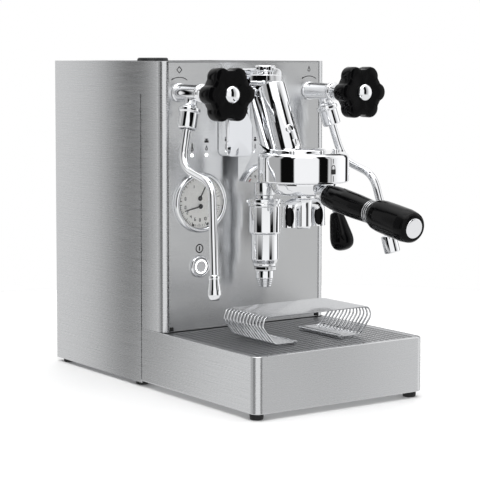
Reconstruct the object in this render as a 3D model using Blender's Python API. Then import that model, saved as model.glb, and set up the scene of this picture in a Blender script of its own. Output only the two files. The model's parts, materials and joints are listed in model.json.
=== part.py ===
"""Single group espresso machine, every piece its own closed solid.

Metres, +Z up, the front faces -Y. The origin is under the middle of the whole machine, on the worktop.
"""

import math

import bmesh
import bpy
from mathutils import Matrix, Vector

# Clearances
GAP = 0.0003  # between two pieces that touch
RUNNING_GAP = 0.0004  # round a piece that turns or slides

# Cabinet
CASE_WIDTH = 0.220
CASE_DEPTH = 0.237  # from the front plane to the back
CASE_TOP = 0.357
CASE_BASE = 0.0045
SHEET = 0.0015
CORNER_RADIUS = 0.009
CORNER_FOLD = 0.0026  # the wrap's front edge turned into the cabinet
PANEL_INSET = 0.0008
SEAM_SETBACK = 0.043  # the slit down each side, behind the front plane
SLIT_WIDTH = 0.0016
SLIT_TOP = 0.322
TRAY_DEPTH = 0.173  # in front of the front plane
TRAY_BASE = 0.0067
TRAY_TOP = 0.065
TANK_LID_DEPTH = 0.082
TANK_CAP_RADIUS = 0.0185
TANK_DEPTH = 0.062
FOOT_RADIUS = 0.0075
FOOT_INSET = 0.0100

# Feet, tank and inlet
BASE_LIFT = 0.001
SADDLE_X = 0.050
SADDLE_DEPTH = 0.060
SADDLE_DROP = 0.030  # the saddle's top below the boiler's axis
LID_THICKNESS = 0.0035
LID_FLOOR = 0.0015
TANK_MARGIN = 0.018  # from the cabinet's side to the tank
TANK_WALL = 0.002
SHELF_MARGIN = 0.012  # from the tank's side to the plate that carries it
INLET_X = 0.060
INLET_Z = 0.040
INLET_WIDTH = 0.028
INLET_HEIGHT = 0.021
INLET_DEPTH = 0.024
INLET_FRAME = 0.003
INLET_WALL = 0.0025
INLET_PROUD = 0.0012

# Drip grid
GRID_THICKNESS = 0.003
GRID_ROWS = 14
GRID_COLUMNS = 3
GRID_BAR = 0.0055
GRID_CHAMFER = 0.0026  # clears the tray's round front corners

# Portafilter
PORTAFILTER_RADIUS = 0.035
BASKET_RADIUS = PORTAFILTER_RADIUS - 0.0057
BASKET_WALL = 0.0008
HANDLE_DROOP = math.radians(9.4)
HANDLE_START = PORTAFILTER_RADIUS + 0.008
HANDLE_SPLIT = 0.112
HANDLE_END = 0.179
OUTLET_RADIUS = 0.006
SPOUT_REACH = 0.0188
CHUTE_RADIUS = 0.0078

# Brew group
GROUP_REACH = 0.105  # from the front plane to the bell's axis
CHAMBER_REACH = 0.0355  # to the axis of the lower chamber and the top nuts
FLANGE_WIDTH = 0.074
FLANGE_DEPTH = 0.016
NECK_WIDTH = 0.043
BELL_RADIUS = PORTAFILTER_RADIUS + 0.013
BELL_DROP = 0.126  # the bell's lower edge below the top of the cabinet
LEVER_SHAFT_RADIUS = 0.005
SHAFT_GAP = 0.0001
SHAFT_STEPS = 24  # enough flats for the shaft to turn in its bore
LEVER_X = 0.066
LEVER_KNOB_LENGTH = 0.042
LIP_RADIUS = PORTAFILTER_RADIUS + RUNNING_GAP
LIP_HEIGHT = 0.0070
EAR_RADIUS = PORTAFILTER_RADIUS + 0.005
EAR_ANGLE = 14  # half of the angle an ear spans, in degrees
UNLOCK_ANGLE = 50
GASKET_OUTER = PORTAFILTER_RADIUS + 0.0016

# Valves and wands
VALVE_SPREAD = 0.087  # from the middle to each valve's axis
VALVE_DROP = 0.0335  # below the top of the cabinet
VALVE_RADIUS = 0.0092
VALVE_SHANK_RADIUS = 0.0080
VALVE_END = 0.0765
KNOB_BACK = 0.0785  # in front of the front plane
KNOB_THICKNESS = 0.017
KNOB_LOBE_CIRCLE = 0.0200
KNOB_LOBE_RADIUS = 0.0095
KNOB_LOBES = 6
WAND_REACH = 0.024  # from the front plane to the ball joint's root
WAND_RADIUS = 0.0044
BALL_RADIUS = WAND_RADIUS + 0.0016
BALL_DROP = 0.0275  # along the joint from the valve's axis to the ball
SEAT_RADIUS = BALL_RADIUS + 0.0023
NUT_RADIUS = SEAT_RADIUS + 0.0017
NUT_COLLAR = SEAT_RADIUS + 0.0035
TILT_ROOM = math.tan(math.radians(7))
STEAM_TIP_LENGTH = 0.025
WATER_NOZZLE_LENGTH = 0.020

# Gauge, button and lights
GAUGE_X = -0.0615
GAUGE_HEIGHT = 0.2043
GAUGE_RADIUS = 0.033
GAUGE_CAN_RADIUS = GAUGE_RADIUS - 0.0035
GAUGE_WINDOW = GAUGE_RADIUS - 0.0050
GAUGE_DEPTH = 0.030
NEEDLE_SPLIT = 0.0043  # each needle's pivot above or below the gauge's middle
BOILER_NEEDLE = GAUGE_WINDOW - 0.0115
PUMP_NEEDLE = GAUGE_WINDOW - 0.0070
BUTTON_HEIGHT = 0.1344
BUTTON_RADIUS = 0.0091
BUTTON_BARREL_RADIUS = BUTTON_RADIUS + RUNNING_GAP + 0.0007
LIGHT_HEIGHT = 0.2556
LIGHT_SPACING = 0.0187
LIGHT_RADIUS = 0.0016

# Boiler and pump
BOILER_RADIUS = 0.050
BOILER_LENGTH = 0.148
BOILER_SETBACK = 0.088
BOILER_HEIGHT = 0.215
PORT_RADIUS = 0.018
PUMP_RADIUS = 0.022
PUMP_LENGTH = 0.080

# Cup stand
WIRE_RADIUS = 0.0010
WIRE_COUNT = 13
STAND_DEPTH = 0.070
STAND_WIDTH = 0.129
STAND_HEIGHT = 0.0322
STAND_REACH = 0.096  # from the front plane to the stand's middle

# Places that follow from the sizes above
FRONT_Y = (GROUP_REACH + HANDLE_END - CASE_DEPTH) / 2
BACK_Y = FRONT_Y + CASE_DEPTH
CASING_BACK_Y = BACK_Y - SHEET - 2 * GAP
SEAM_Y = FRONT_Y + SEAM_SETBACK
TRAY_FRONT_Y = FRONT_Y - TRAY_DEPTH
GROUP_Y = FRONT_Y - GROUP_REACH
CHAMBER_Y = FRONT_Y - CHAMBER_REACH
HALF_WIDTH = CASE_WIDTH / 2
PANEL_HALF = HALF_WIDTH - CORNER_RADIUS
INSIDE_HALF = HALF_WIDTH - SHEET - 2 * GAP
TANK_SPLIT_Y = BACK_Y - TANK_LID_DEPTH
TANK_BACK_Y = CASING_BACK_Y - 0.004
TANK_HALF = HALF_WIDTH - TANK_MARGIN
TANK_BASE = INLET_Z + INLET_HEIGHT / 2 + 0.004  # clear above the inlet
BASE_TOP = CASE_BASE + BASE_LIFT + SHEET
VALVE_HEIGHT = CASE_TOP - VALVE_DROP
BELL_BASE = CASE_TOP - BELL_DROP
BELL_TOP = BELL_BASE + 0.031
FLANGE_BASE = BELL_BASE + 0.0225
FLANGE_TOP = CASE_TOP - 0.008
NUT_BASE = BELL_BASE + 0.100
NUT_TOP = NUT_BASE + 0.0115
CHAMBER_TOP = BELL_BASE - 0.019
DRAIN_TOP = CHAMBER_TOP - 0.0775
LEVER_HEIGHT = BELL_BASE + 0.006
SEAT_HEIGHT = BELL_BASE + 0.0155  # where the basket's rim meets the gasket
GASKET_TOP = BELL_TOP - 0.0065
BODY_TOP = SEAT_HEIGHT - 0.0016
BODY_BASE = BELL_BASE - 0.0135
SPOUT_BASE = BODY_BASE - 0.034
HANDLE_HEIGHT = BELL_BASE - 0.0048  # of the handle's line at the group's axis
HANDLE_LINE = Vector((0, -math.cos(HANDLE_DROOP), -math.sin(HANDLE_DROOP)))

UP = Vector((0, 0, 1))
FORWARD = Vector((0, -1, 0))
RIGHT = Vector((1, 0, 0))
ORIGIN = (0, 0, 0)
STEAM_END = (-0.1250, FRONT_Y - 0.1234, 0.1176)
WATER_END = (0.1205, FRONT_Y - 0.1075, 0.1478)


def paint(name, colour, roughness, metallic=0.0):
    """The named Principled material, made once."""
    known = bpy.data.materials.get(name)
    if known:
        return known
    material = bpy.data.materials.new(name)
    material.use_nodes = True
    shader = material.node_tree.nodes["Principled BSDF"]
    shader.inputs["Base Color"].default_value = (*colour, 1)
    shader.inputs["Roughness"].default_value = roughness
    shader.inputs["Metallic"].default_value = metallic
    return material


def brushed_steel():
    return paint("brushed_steel", (0.62, 0.62, 0.63), 0.32, 1)


def chrome():
    return paint("chrome", (0.86, 0.86, 0.87), 0.06, 1)


def black_plastic():
    return paint("black_plastic", (0.012, 0.012, 0.013), 0.22)


def rubber():
    return paint("rubber", (0.015, 0.015, 0.015), 0.8)


def copper():
    return paint("copper", (0.72, 0.40, 0.27), 0.3, 1)


def white_plastic():
    return paint("white_plastic", (0.85, 0.85, 0.85), 0.35)


def clear_plastic():
    return paint("clear_plastic", (0.75, 0.80, 0.84), 0.15)


def finished(name, bm, material, at=ORIGIN, along=UP):
    """The object made of a bmesh, its own +Z laid along a direction."""
    bmesh.ops.recalc_face_normals(bm, faces=bm.faces)
    mesh = bpy.data.meshes.new(name)
    bm.to_mesh(mesh)
    bm.free()
    mesh.materials.append(material)
    mesh.shade_smooth()
    mesh.set_sharp_from_angle(angle=math.radians(35))
    piece = bpy.data.objects.new(name, mesh)
    piece.location = at
    piece.rotation_mode = "QUATERNION"
    piece.rotation_quaternion = UP.rotation_difference(Vector(along))
    bpy.context.collection.objects.link(piece)
    return piece


def turned(name, outline, material, at=ORIGIN, along=UP, steps=24):
    """A solid of revolution: (radius, height) points from axis to axis, or round a closed ring."""
    bm = bmesh.new()
    rings = []
    for radius, height in outline:
        if radius == 0:
            rings.append([bm.verts.new((0, 0, height))])
            continue
        angles = [2 * math.pi * k / steps for k in range(steps)]
        rings.append([bm.verts.new((radius * math.cos(a), radius * math.sin(a), height)) for a in angles])
    pairs = list(zip(rings, rings[1:]))
    if outline[0][0] > 0:
        pairs.append((rings[-1], rings[0]))
    for first, second in pairs:
        for k in range(steps):
            j = (k + 1) % steps
            corners = [first[k % len(first)], first[j % len(first)]]
            corners += [second[j % len(second)], second[k % len(second)]]
            distinct = list(dict.fromkeys(corners))
            if len(distinct) > 2:
                bm.faces.new(distinct)
    return finished(name, bm, material, at, along)


def rod(name, radius, low, high, material, at=ORIGIN, along=UP, steps=16):
    """A plain cylinder between two heights on its axis."""
    return turned(name, [(0, low), (radius, low), (radius, high), (0, high)], material, at, along, steps)


def prism(name, outline, low, high, material, plane="XY"):
    """An outline in the XY, XZ or YZ plane, extruded along the third axis."""
    place = {
        "XY": lambda a, b, c: (a, b, c),
        "XZ": lambda a, b, c: (a, c, b),
        "YZ": lambda a, b, c: (c, a, b),
    }[plane]
    bm = bmesh.new()
    lower = [bm.verts.new(place(a, b, low)) for a, b in outline]
    upper = [bm.verts.new(place(a, b, high)) for a, b in outline]
    bm.faces.new(lower)
    bm.faces.new(upper)
    for k in range(len(outline)):
        j = (k + 1) % len(outline)
        bm.faces.new([lower[k], lower[j], upper[j], upper[k]])
    return finished(name, bm, material)


def block(name, low, high, material):
    """A box between two corners."""
    outline = [(low[0], low[1]), (high[0], low[1]), (high[0], high[1]), (low[0], high[1])]
    return prism(name, outline, low[2], high[2], material)


def arc(centre, radius, start, end, steps):
    """Points along an arc, from one angle in degrees to the other."""
    angles = [math.radians(start + (end - start) * k / steps) for k in range(steps + 1)]
    return [(centre[0] + radius * math.cos(a), centre[1] + radius * math.sin(a)) for a in angles]


def rectangle(left, right, low, high, low_radius=0.0, high_radius=0.0, steps=4):
    """A rectangle's outline whose two lower and two upper corners may be rounded."""
    corners = [
        (left, low, 1, 1, low_radius, 180),
        (right, low, -1, 1, low_radius, 270),
        (right, high, -1, -1, high_radius, 0),
        (left, high, 1, -1, high_radius, 90),
    ]
    points = []
    for x, y, inward_x, inward_y, radius, start in corners:
        if radius == 0:
            points.append((x, y))
            continue
        centre = (x + inward_x * radius, y + inward_y * radius)
        points += arc(centre, radius, start, start + 90, steps)
    return points


def tub(name, outer, inner, base, floor, top, material):
    """An open vessel: an outer outline and an inner one of as many points, with a floor between."""
    bm = bmesh.new()
    rings = []
    for outline, height in ((outer, base), (outer, top), (inner, top), (inner, floor)):
        rings.append([bm.verts.new((x, y, height)) for x, y in outline])
    bm.faces.new(rings[0])
    bm.faces.new(rings[3])
    for first, second in zip(rings, rings[1:]):
        for k in range(len(outer)):
            j = (k + 1) % len(outer)
            bm.faces.new([first[k], first[j], second[j], second[k]])
    return finished(name, bm, material)


def rounded_path(corners, radius, steps=4):
    """A path through its corners, each inner one eased by a curve that starts a radius away."""
    points = [Vector(corners[0])]
    for before, corner, after in zip(corners, corners[1:], corners[2:]):
        before, corner, after = Vector(before), Vector(corner), Vector(after)
        start = corner + (before - corner).normalized() * radius
        end = corner + (after - corner).normalized() * radius
        for k in range(steps + 1):
            t = k / steps
            points.append(start * (1 - t) ** 2 + corner * 2 * t * (1 - t) + end * t**2)
    points.append(Vector(corners[-1]))
    return points


def add_tube(bm, path, radius, sides):
    """A round tube with flat ends along a path, added to a bmesh."""
    heading = (path[1] - path[0]).normalized()
    across = heading.orthogonal().normalized()
    rings = []
    for k, point in enumerate(path):
        ahead = path[min(k + 1, len(path) - 1)] - path[max(k - 1, 0)]
        turn = heading.rotation_difference(ahead.normalized())
        heading = ahead.normalized()
        across = (turn @ across).normalized()
        beside = heading.cross(across)
        angles = [2 * math.pi * j / sides for j in range(sides)]
        offsets = [across * math.cos(a) + beside * math.sin(a) for a in angles]
        rings.append([bm.verts.new(point + offset * radius) for offset in offsets])
    bm.faces.new(rings[0])
    bm.faces.new(rings[-1])
    for first, second in zip(rings, rings[1:]):
        for j in range(sides):
            i = (j + 1) % sides
            bm.faces.new([first[j], first[i], second[i], second[j]])


def tube(name, path, radius, material, sides=8):
    bm = bmesh.new()
    add_tube(bm, path, radius, sides)
    return finished(name, bm, material)


def apply_shape(piece, other, operation):
    """Joins or cuts a piece with another, which stays behind as a guide."""
    other.hide_render = True
    other.display_type = "WIRE"
    shape = piece.modifiers.new(other.name, "BOOLEAN")
    shape.operation = operation
    shape.object = other
    shape.solver = "EXACT"


def cut(piece, *cutters):
    for cutter in cutters:
        apply_shape(piece, cutter, "DIFFERENCE")


def join(piece, *others):
    for other in others:
        apply_shape(piece, other, "UNION")


def ride(parent, *children):
    """Parents pieces to an unrotated one without moving them."""
    for child in children:
        child.parent = parent
        child.location = Vector(child.location) - Vector(parent.location)


def set_origin(piece, point):
    """Moves the origin of an unrotated piece onto its joint's axis."""
    piece.data.transform(Matrix.Translation(Vector(piece.location) - Vector(point)))
    piece.location = point


def front_place(x, reach, height):
    """A place given by its distance in front of the front plane."""
    return (x, FRONT_Y - reach, height)


# Cabinet


def build_casing():
    """Sides and back in one folded sheet, round at the two front edges."""
    outer = [(-PANEL_HALF, FRONT_Y + CORNER_FOLD)]
    inner = [(-PANEL_HALF - SHEET, FRONT_Y + CORNER_FOLD)]
    centre = (-PANEL_HALF, FRONT_Y + CORNER_RADIUS)
    outer += reversed(arc(centre, CORNER_RADIUS, 180, 270, 5))
    inner += [(-PANEL_HALF - SHEET, FRONT_Y + SHEET)]
    inner += reversed(arc(centre, CORNER_RADIUS - SHEET, 180, 258, 4))
    outer.append((-HALF_WIDTH, BACK_Y))
    inner.append((-HALF_WIDTH + SHEET, BACK_Y - SHEET))
    path = list(zip(outer, inner))
    path += [((-ox, oy), (-ix, iy)) for (ox, oy), (ix, iy) in reversed(path)]
    bm = bmesh.new()
    rows = []
    for (ox, oy), (ix, iy) in path:
        corners = [(ox, oy, CASE_BASE), (ox, oy, CASE_TOP), (ix, iy, CASE_TOP), (ix, iy, CASE_BASE)]
        rows.append([bm.verts.new(corner) for corner in corners])
    bm.faces.new(rows[0])
    bm.faces.new(rows[-1])
    for first, second in zip(rows, rows[1:]):
        for k in range(4):
            j = (k + 1) % 4
            bm.faces.new([first[k], first[j], second[j], second[k]])
    wrap = finished("casing_wrap", bm, brushed_steel())
    beyond = HALF_WIDTH + 0.01
    above_tray = TRAY_TOP + GAP
    notch = block("tray_notch", (-beyond, FRONT_Y - 0.01, 0), (beyond, SEAM_Y, above_tray), brushed_steel())
    slit_low = (-beyond, SEAM_Y - SLIT_WIDTH / 2, above_tray - 0.001)
    slit = block("side_slit", slit_low, (beyond, SEAM_Y + SLIT_WIDTH / 2, SLIT_TOP), brushed_steel())
    cut(wrap, notch, slit, inlet_box("inlet_hole", GAP, BACK_Y - 0.01, BACK_Y + 0.01))


def inlet_box(name, margin, front, back):
    """The power inlet's body, or the hole for it."""
    low = (INLET_X - INLET_WIDTH / 2 - margin, front, INLET_Z - INLET_HEIGHT / 2 - margin)
    high = (INLET_X + INLET_WIDTH / 2 + margin, back, INLET_Z + INLET_HEIGHT / 2 + margin)
    return block(name, low, high, black_plastic())


def build_power_inlet():
    body = inlet_box("power_inlet", 0, BACK_Y - INLET_DEPTH, BACK_Y + INLET_PROUD)
    frame = inlet_box("inlet_frame", INLET_FRAME, BACK_Y + GAP, BACK_Y + INLET_PROUD)
    socket = inlet_box("inlet_socket", -INLET_WALL, BACK_Y - INLET_DEPTH + INLET_WALL, BACK_Y + 0.01)
    join(body, frame)
    cut(body, socket)


def build_front_panel():
    """The sheet behind the group, with a hole for each thing that passes through it."""
    edge = GAP
    outline = rectangle(-PANEL_HALF + edge, PANEL_HALF - edge, TRAY_TOP + 2 * GAP, CASE_TOP - SHEET)
    front = FRONT_Y + PANEL_INSET
    panel = prism("front_panel", outline, front, front + SHEET, brushed_steel(), "XZ")
    holes = [
        ("gauge_hole", GAUGE_X, GAUGE_HEIGHT, GAUGE_CAN_RADIUS + RUNNING_GAP),
        ("button_hole", GAUGE_X, BUTTON_HEIGHT, BUTTON_BARREL_RADIUS + RUNNING_GAP),
        ("steam_hole", -VALVE_SPREAD, VALVE_HEIGHT, VALVE_SHANK_RADIUS + RUNNING_GAP),
        ("water_hole", VALVE_SPREAD, VALVE_HEIGHT, VALVE_SHANK_RADIUS + RUNNING_GAP),
        ("left_light_hole", GAUGE_X - LIGHT_SPACING / 2, LIGHT_HEIGHT, LIGHT_RADIUS + RUNNING_GAP),
        ("right_light_hole", GAUGE_X + LIGHT_SPACING / 2, LIGHT_HEIGHT, LIGHT_RADIUS + RUNNING_GAP),
    ]
    for name, x, height, radius in holes:
        sides = 24 if radius > 0.02 else 12
        hole = rod(name, radius, -0.01, 0.01, brushed_steel(), (x, FRONT_Y, height), FORWARD, sides)
        cut(panel, hole)


def build_chassis_base():
    """The floor of the cabinet, with two saddles under the boiler and two plates under the tank."""
    low = (-INSIDE_HALF, SEAM_Y + GAP, CASE_BASE + BASE_LIFT)
    base = block("chassis_base", low, (INSIDE_HALF, CASING_BACK_Y, BASE_TOP), brushed_steel())
    middle = FRONT_Y + BOILER_SETBACK
    shelf_x = TANK_HALF - SHELF_MARGIN
    shelf_front = TANK_BACK_Y - TANK_DEPTH + SHELF_MARGIN / 2
    saddle_span = (middle - SADDLE_DEPTH / 2, middle + SADDLE_DEPTH / 2)
    shelf_span = (shelf_front, TANK_BACK_Y - SHELF_MARGIN / 2)
    uprights = [
        ("saddle", SADDLE_X, saddle_span, BOILER_HEIGHT - SADDLE_DROP),
        ("shelf", shelf_x, shelf_span, TANK_BASE - GAP),
    ]
    for word, x, (front, back), top in uprights:
        for side in (-1, 1):
            near, far = sorted((side * x, side * (x + 2 * SHEET)))
            low = (near, front, BASE_TOP - SHEET / 2)
            join(base, block(f"{word}_{side}", low, (far, back, top), brushed_steel()))
    centre = (0, middle, BOILER_HEIGHT)
    cut(base, rod("saddle_curve", BOILER_RADIUS + GAP, -0.08, 0.08, brushed_steel(), centre, RIGHT, 32))


def build_top():
    """The cup tray in front, and the tank lid with its round cap behind it."""
    base = CASE_TOP - LID_THICKNESS
    front, back = FRONT_Y + CORNER_FOLD + 2 * GAP, TANK_SPLIT_Y - GAP
    corner = CORNER_RADIUS - SHEET - GAP
    tray = rectangle(-INSIDE_HALF, INSIDE_HALF, front, back, corner, 0, 3)
    inside = (-INSIDE_HALF + SHEET, INSIDE_HALF - SHEET, front + SHEET, back - SHEET)
    hollow = rectangle(*inside, corner - SHEET, 0, 3)
    tub("cup_tray", tray, hollow, base, base + LID_FLOOR, CASE_TOP - GAP, brushed_steel())
    outline = rectangle(-INSIDE_HALF, INSIDE_HALF, TANK_SPLIT_Y + GAP, CASING_BACK_Y)
    lid = prism("tank_lid", outline, base, CASE_TOP - 0.001, brushed_steel())
    middle = (TANK_SPLIT_Y + CASING_BACK_Y) / 2
    profile = [(0, 0), (TANK_CAP_RADIUS, 0), (TANK_CAP_RADIUS, 0.0022), (0.016, 0.0036), (0, 0.0040)]
    cap = turned("tank_lid_cap", profile, black_plastic(), (0, middle, CASE_TOP - 0.001 + GAP), UP, 20)
    ride(lid, cap)


def build_water_tank():
    front, inner_front = TANK_BACK_Y - TANK_DEPTH, TANK_BACK_Y - TANK_DEPTH + TANK_WALL
    outer = rectangle(-TANK_HALF, TANK_HALF, front, TANK_BACK_Y, 0.008, 0.008, 3)
    half = TANK_HALF - TANK_WALL
    inner = rectangle(-half, half, inner_front, TANK_BACK_Y - TANK_WALL, 0.006, 0.006, 3)
    top = CASE_TOP - LID_THICKNESS - GAP
    tub("water_tank", outer, inner, TANK_BASE, TANK_BASE + 0.003, top, clear_plastic())


def build_feet():
    x = HALF_WIDTH - FOOT_INSET
    rows = [
        ("front", TRAY_FRONT_Y + 0.012, TRAY_BASE - GAP),
        ("middle", SEAM_Y + 0.015, CASE_BASE + BASE_LIFT - GAP),
        ("rear", BACK_Y - 0.014, CASE_BASE + BASE_LIFT - GAP),
    ]
    for row, y, top in rows:
        for side, word in ((-1, "left"), (1, "right")):
            rod(f"foot_{row}_{word}", FOOT_RADIUS, 0, top, rubber(), (side * x, y, 0), UP, 10)


def build_drip_tray():
    """The fixed housing, the pan that lifts out of it, and the grid that covers the pan."""
    back = SEAM_Y - 2 * GAP
    outer = rectangle(-HALF_WIDTH, HALF_WIDTH, TRAY_FRONT_Y, back, CORNER_RADIUS, 0, 5)
    inside = (-HALF_WIDTH + SHEET, HALF_WIDTH - SHEET, TRAY_FRONT_Y + SHEET, back - SHEET)
    inner = rectangle(*inside, CORNER_RADIUS - SHEET, 0, 5)
    tub("tray_housing", outer, inner, TRAY_BASE, TRAY_BASE + SHEET, TRAY_TOP, brushed_steel())

    margin = SHEET + 0.001
    front, back = TRAY_FRONT_Y + margin, FRONT_Y - 0.002
    half = HALF_WIDTH - margin
    outer = rectangle(-half, half, front, back, 0.006, 0.006, 3)
    wall = 0.0012
    inner = rectangle(-half + wall, half - wall, front + wall, back - wall, 0.0048, 0.0048, 3)
    base = TRAY_BASE + SHEET + GAP
    pan_top = TRAY_TOP - GRID_THICKNESS - 2 * GAP
    tub("drip_pan", outer, inner, base, base + wall, pan_top, brushed_steel())
    build_grid(half, front, back)


def spread(low, high, count, bar):
    """The edges of evenly spaced slots between two ends, with a bar on either side of each."""
    pitch = (high - low - bar) / count
    edges = [low]
    for k in range(count):
        edges += [low + bar + k * pitch, low + (k + 1) * pitch]
    return edges + [high]


def build_grid(half, front, back):
    """A plate with rows of long slots, flush with the top of the tray."""
    xs = spread(-half, half, GRID_COLUMNS, GRID_BAR)
    ys = spread(front, back, GRID_ROWS, GRID_BAR)
    low, high = TRAY_TOP - GRID_THICKNESS - GAP, TRAY_TOP - GAP
    bm = bmesh.new()
    corners = {}

    def corner(i, j, z):
        if (i, j, z) not in corners:
            x, y = xs[i], ys[j]
            if j == 0 and i in (0, len(xs) - 1):
                x, y = x - math.copysign(GRID_CHAMFER, x), y + GRID_CHAMFER
            corners[i, j, z] = bm.verts.new((x, y, z))
        return corners[i, j, z]

    def filled(i, j):
        inside = 0 <= i < len(xs) - 1 and 0 <= j < len(ys) - 1
        return inside and not (i % 2 == 1 and j % 2 == 1)

    for i in range(len(xs) - 1):
        for j in range(len(ys) - 1):
            if not filled(i, j):
                continue
            square = [(i, j), (i + 1, j), (i + 1, j + 1), (i, j + 1)]
            bm.faces.new([corner(a, b, high) for a, b in square])
            bm.faces.new([corner(a, b, low) for a, b in reversed(square)])
            neighbours = [(i, j - 1), (i + 1, j), (i, j + 1), (i - 1, j)]
            for k, neighbour in enumerate(neighbours):
                if filled(*neighbour):
                    continue
                (a, b), (c, d) = square[k], square[(k + 1) % 4]
                bm.faces.new([corner(a, b, low), corner(c, d, low), corner(c, d, high), corner(a, b, high)])
    finished("drip_grid", bm, brushed_steel())


def build_cup_stand():
    """Bent wires side by side, their ends joined under the stand by two bars."""
    half = STAND_WIDTH / 2
    foot = TRAY_TOP + 2 * WIRE_RADIUS + GAP
    top = TRAY_TOP + STAND_HEIGHT
    bar_x = half - 0.034
    half_path = [
        (bar_x, foot),
        (half - 0.010, foot),
        (half - 0.006, foot + 0.0017),
        (half + 0.0070, foot + 0.0165),
        (half + 0.0080, foot + 0.0205),
        (half + 0.0050, top - 0.0030),
        (half, top - WIRE_RADIUS),
    ]
    path = half_path + [(-x, z) for x, z in reversed(half_path)]
    middle = FRONT_Y - STAND_REACH
    front = middle - STAND_DEPTH / 2
    spacing = STAND_DEPTH / (WIRE_COUNT - 1)
    bm = bmesh.new()
    for k in range(WIRE_COUNT):
        y = front + k * spacing
        add_tube(bm, [Vector((x, y, z)) for x, z in path], WIRE_RADIUS, 5)
    wires = finished("stand_wires", bm, chrome())
    bars = []
    for word, side in (("left", -1), ("right", 1)):
        at = (side * bar_x, middle, foot)
        length = STAND_DEPTH / 2 + 2 * WIRE_RADIUS
        bars.append(rod(f"stand_bar_{word}", 2 * WIRE_RADIUS, -length, length, chrome(), at, FORWARD, 8))
    stand = bars[0]
    stand.name = "cup_stand"
    join(stand, wires, bars[1])


# Brew group


def build_group():
    """The casting: wall flange, flat-sided neck, slanted chamber and bell."""
    flange_outline = rectangle(-FLANGE_WIDTH / 2, FLANGE_WIDTH / 2, FLANGE_BASE, FLANGE_TOP, 0.006, 0.006, 3)
    flange_back = FRONT_Y + PANEL_INSET - GAP
    body = prism("group_body", flange_outline, FRONT_Y - FLANGE_DEPTH, flange_back, chrome(), "XZ")
    side_view = [
        (FLANGE_DEPTH - 0.002, BELL_BASE - 0.005),
        (CHAMBER_REACH + 0.0145, BELL_BASE - 0.005),
        (CHAMBER_REACH + 0.0225, BELL_BASE + 0.005),
        (GROUP_REACH - 0.005, BELL_BASE + 0.005),
        (GROUP_REACH - 0.005, BELL_TOP - 0.004),
        (GROUP_REACH - 0.035, BELL_TOP),
        (CHAMBER_REACH + 0.0095, NUT_BASE - 0.012),
        (CHAMBER_REACH + 0.0095, NUT_BASE + 0.003),
        (FLANGE_DEPTH - 0.002, NUT_BASE + 0.003),
    ]
    outline = [(FRONT_Y - reach, height) for reach, height in side_view]
    neck = prism("group_neck", outline, -NECK_WIDTH / 2, NECK_WIDTH / 2, chrome(), "YZ")
    low = Vector(front_place(0, GROUP_REACH - 0.025, BELL_TOP - 0.004))
    high = Vector(front_place(0, CHAMBER_REACH + 0.010, NUT_BASE + 0.005))
    slant = rod("group_slant", 0.015, 0, (high - low).length, chrome(), low, high - low, 18)
    stub_at = (0, CHAMBER_Y, 0)
    stub = rod("group_stub", 0.0118, CHAMBER_TOP + GAP, BELL_BASE - 0.001, chrome(), stub_at, UP, 14)
    bell = [
        (0, BELL_TOP),
        (BELL_RADIUS - 0.005, BELL_TOP),
        (BELL_RADIUS - 0.0015, BELL_TOP - 0.0012),
        (BELL_RADIUS, BELL_TOP - 0.004),
        (BELL_RADIUS, BELL_BASE + 0.001),
        (BELL_RADIUS - 0.001, BELL_BASE),
        (0, BELL_BASE),
    ]
    join(body, neck, slant, stub, turned("group_bell", bell, chrome(), (0, GROUP_Y, 0), UP, 32))
    cut_low = (-0.03, CHAMBER_Y - 0.0445, NUT_BASE)
    cut(body, block("group_top_cut", cut_low, (0.03, CHAMBER_Y + 0.0185, CASE_TOP), chrome()))
    bore_at = (0, CHAMBER_Y, LEVER_HEIGHT)
    bore_radius = LEVER_SHAFT_RADIUS + SHAFT_GAP
    bore = rod("lever_bore", bore_radius, -0.006, 0.04, chrome(), bore_at, RIGHT, SHAFT_STEPS)
    chamber = brew_chamber()
    join(chamber, *bayonet_notches())
    cut(body, bore, chamber)


def brew_chamber():
    """The hollow in the bell: the lip's mouth, the bayonet groove and the seat for gasket and screen."""
    groove_top = SEAT_HEIGHT - 0.0006
    groove = EAR_RADIUS + RUNNING_GAP
    seat = GASKET_OUTER + GAP
    profile = [
        (0, BELL_BASE - 0.001),
        (LIP_RADIUS, BELL_BASE - 0.001),
        (LIP_RADIUS, BELL_BASE + LIP_HEIGHT),
        (groove, BELL_BASE + LIP_HEIGHT),
        (groove, groove_top),
        (seat, groove_top),
        (seat, GASKET_TOP + GAP),
        (0, GASKET_TOP + GAP),
    ]
    return turned("brew_chamber", profile, chrome(), (0, GROUP_Y, 0), UP, 32)


def bayonet_notches():
    """The two gaps in the lip that let the ears in."""
    notches = []
    for k, side in enumerate((0, 180)):
        middle = side - UNLOCK_ANGLE
        span = EAR_ANGLE + 3
        outer = arc((0, GROUP_Y), EAR_RADIUS + 2 * RUNNING_GAP, middle - span, middle + span, 4)
        inner = arc((0, GROUP_Y), LIP_RADIUS - 0.004, middle + span, middle - span, 4)
        low, high = BELL_BASE - 0.001, BELL_BASE + LIP_HEIGHT + 0.001
        notches.append(prism(f"bayonet_notch_{k}", outer + inner, low, high, chrome()))
    return notches


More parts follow.
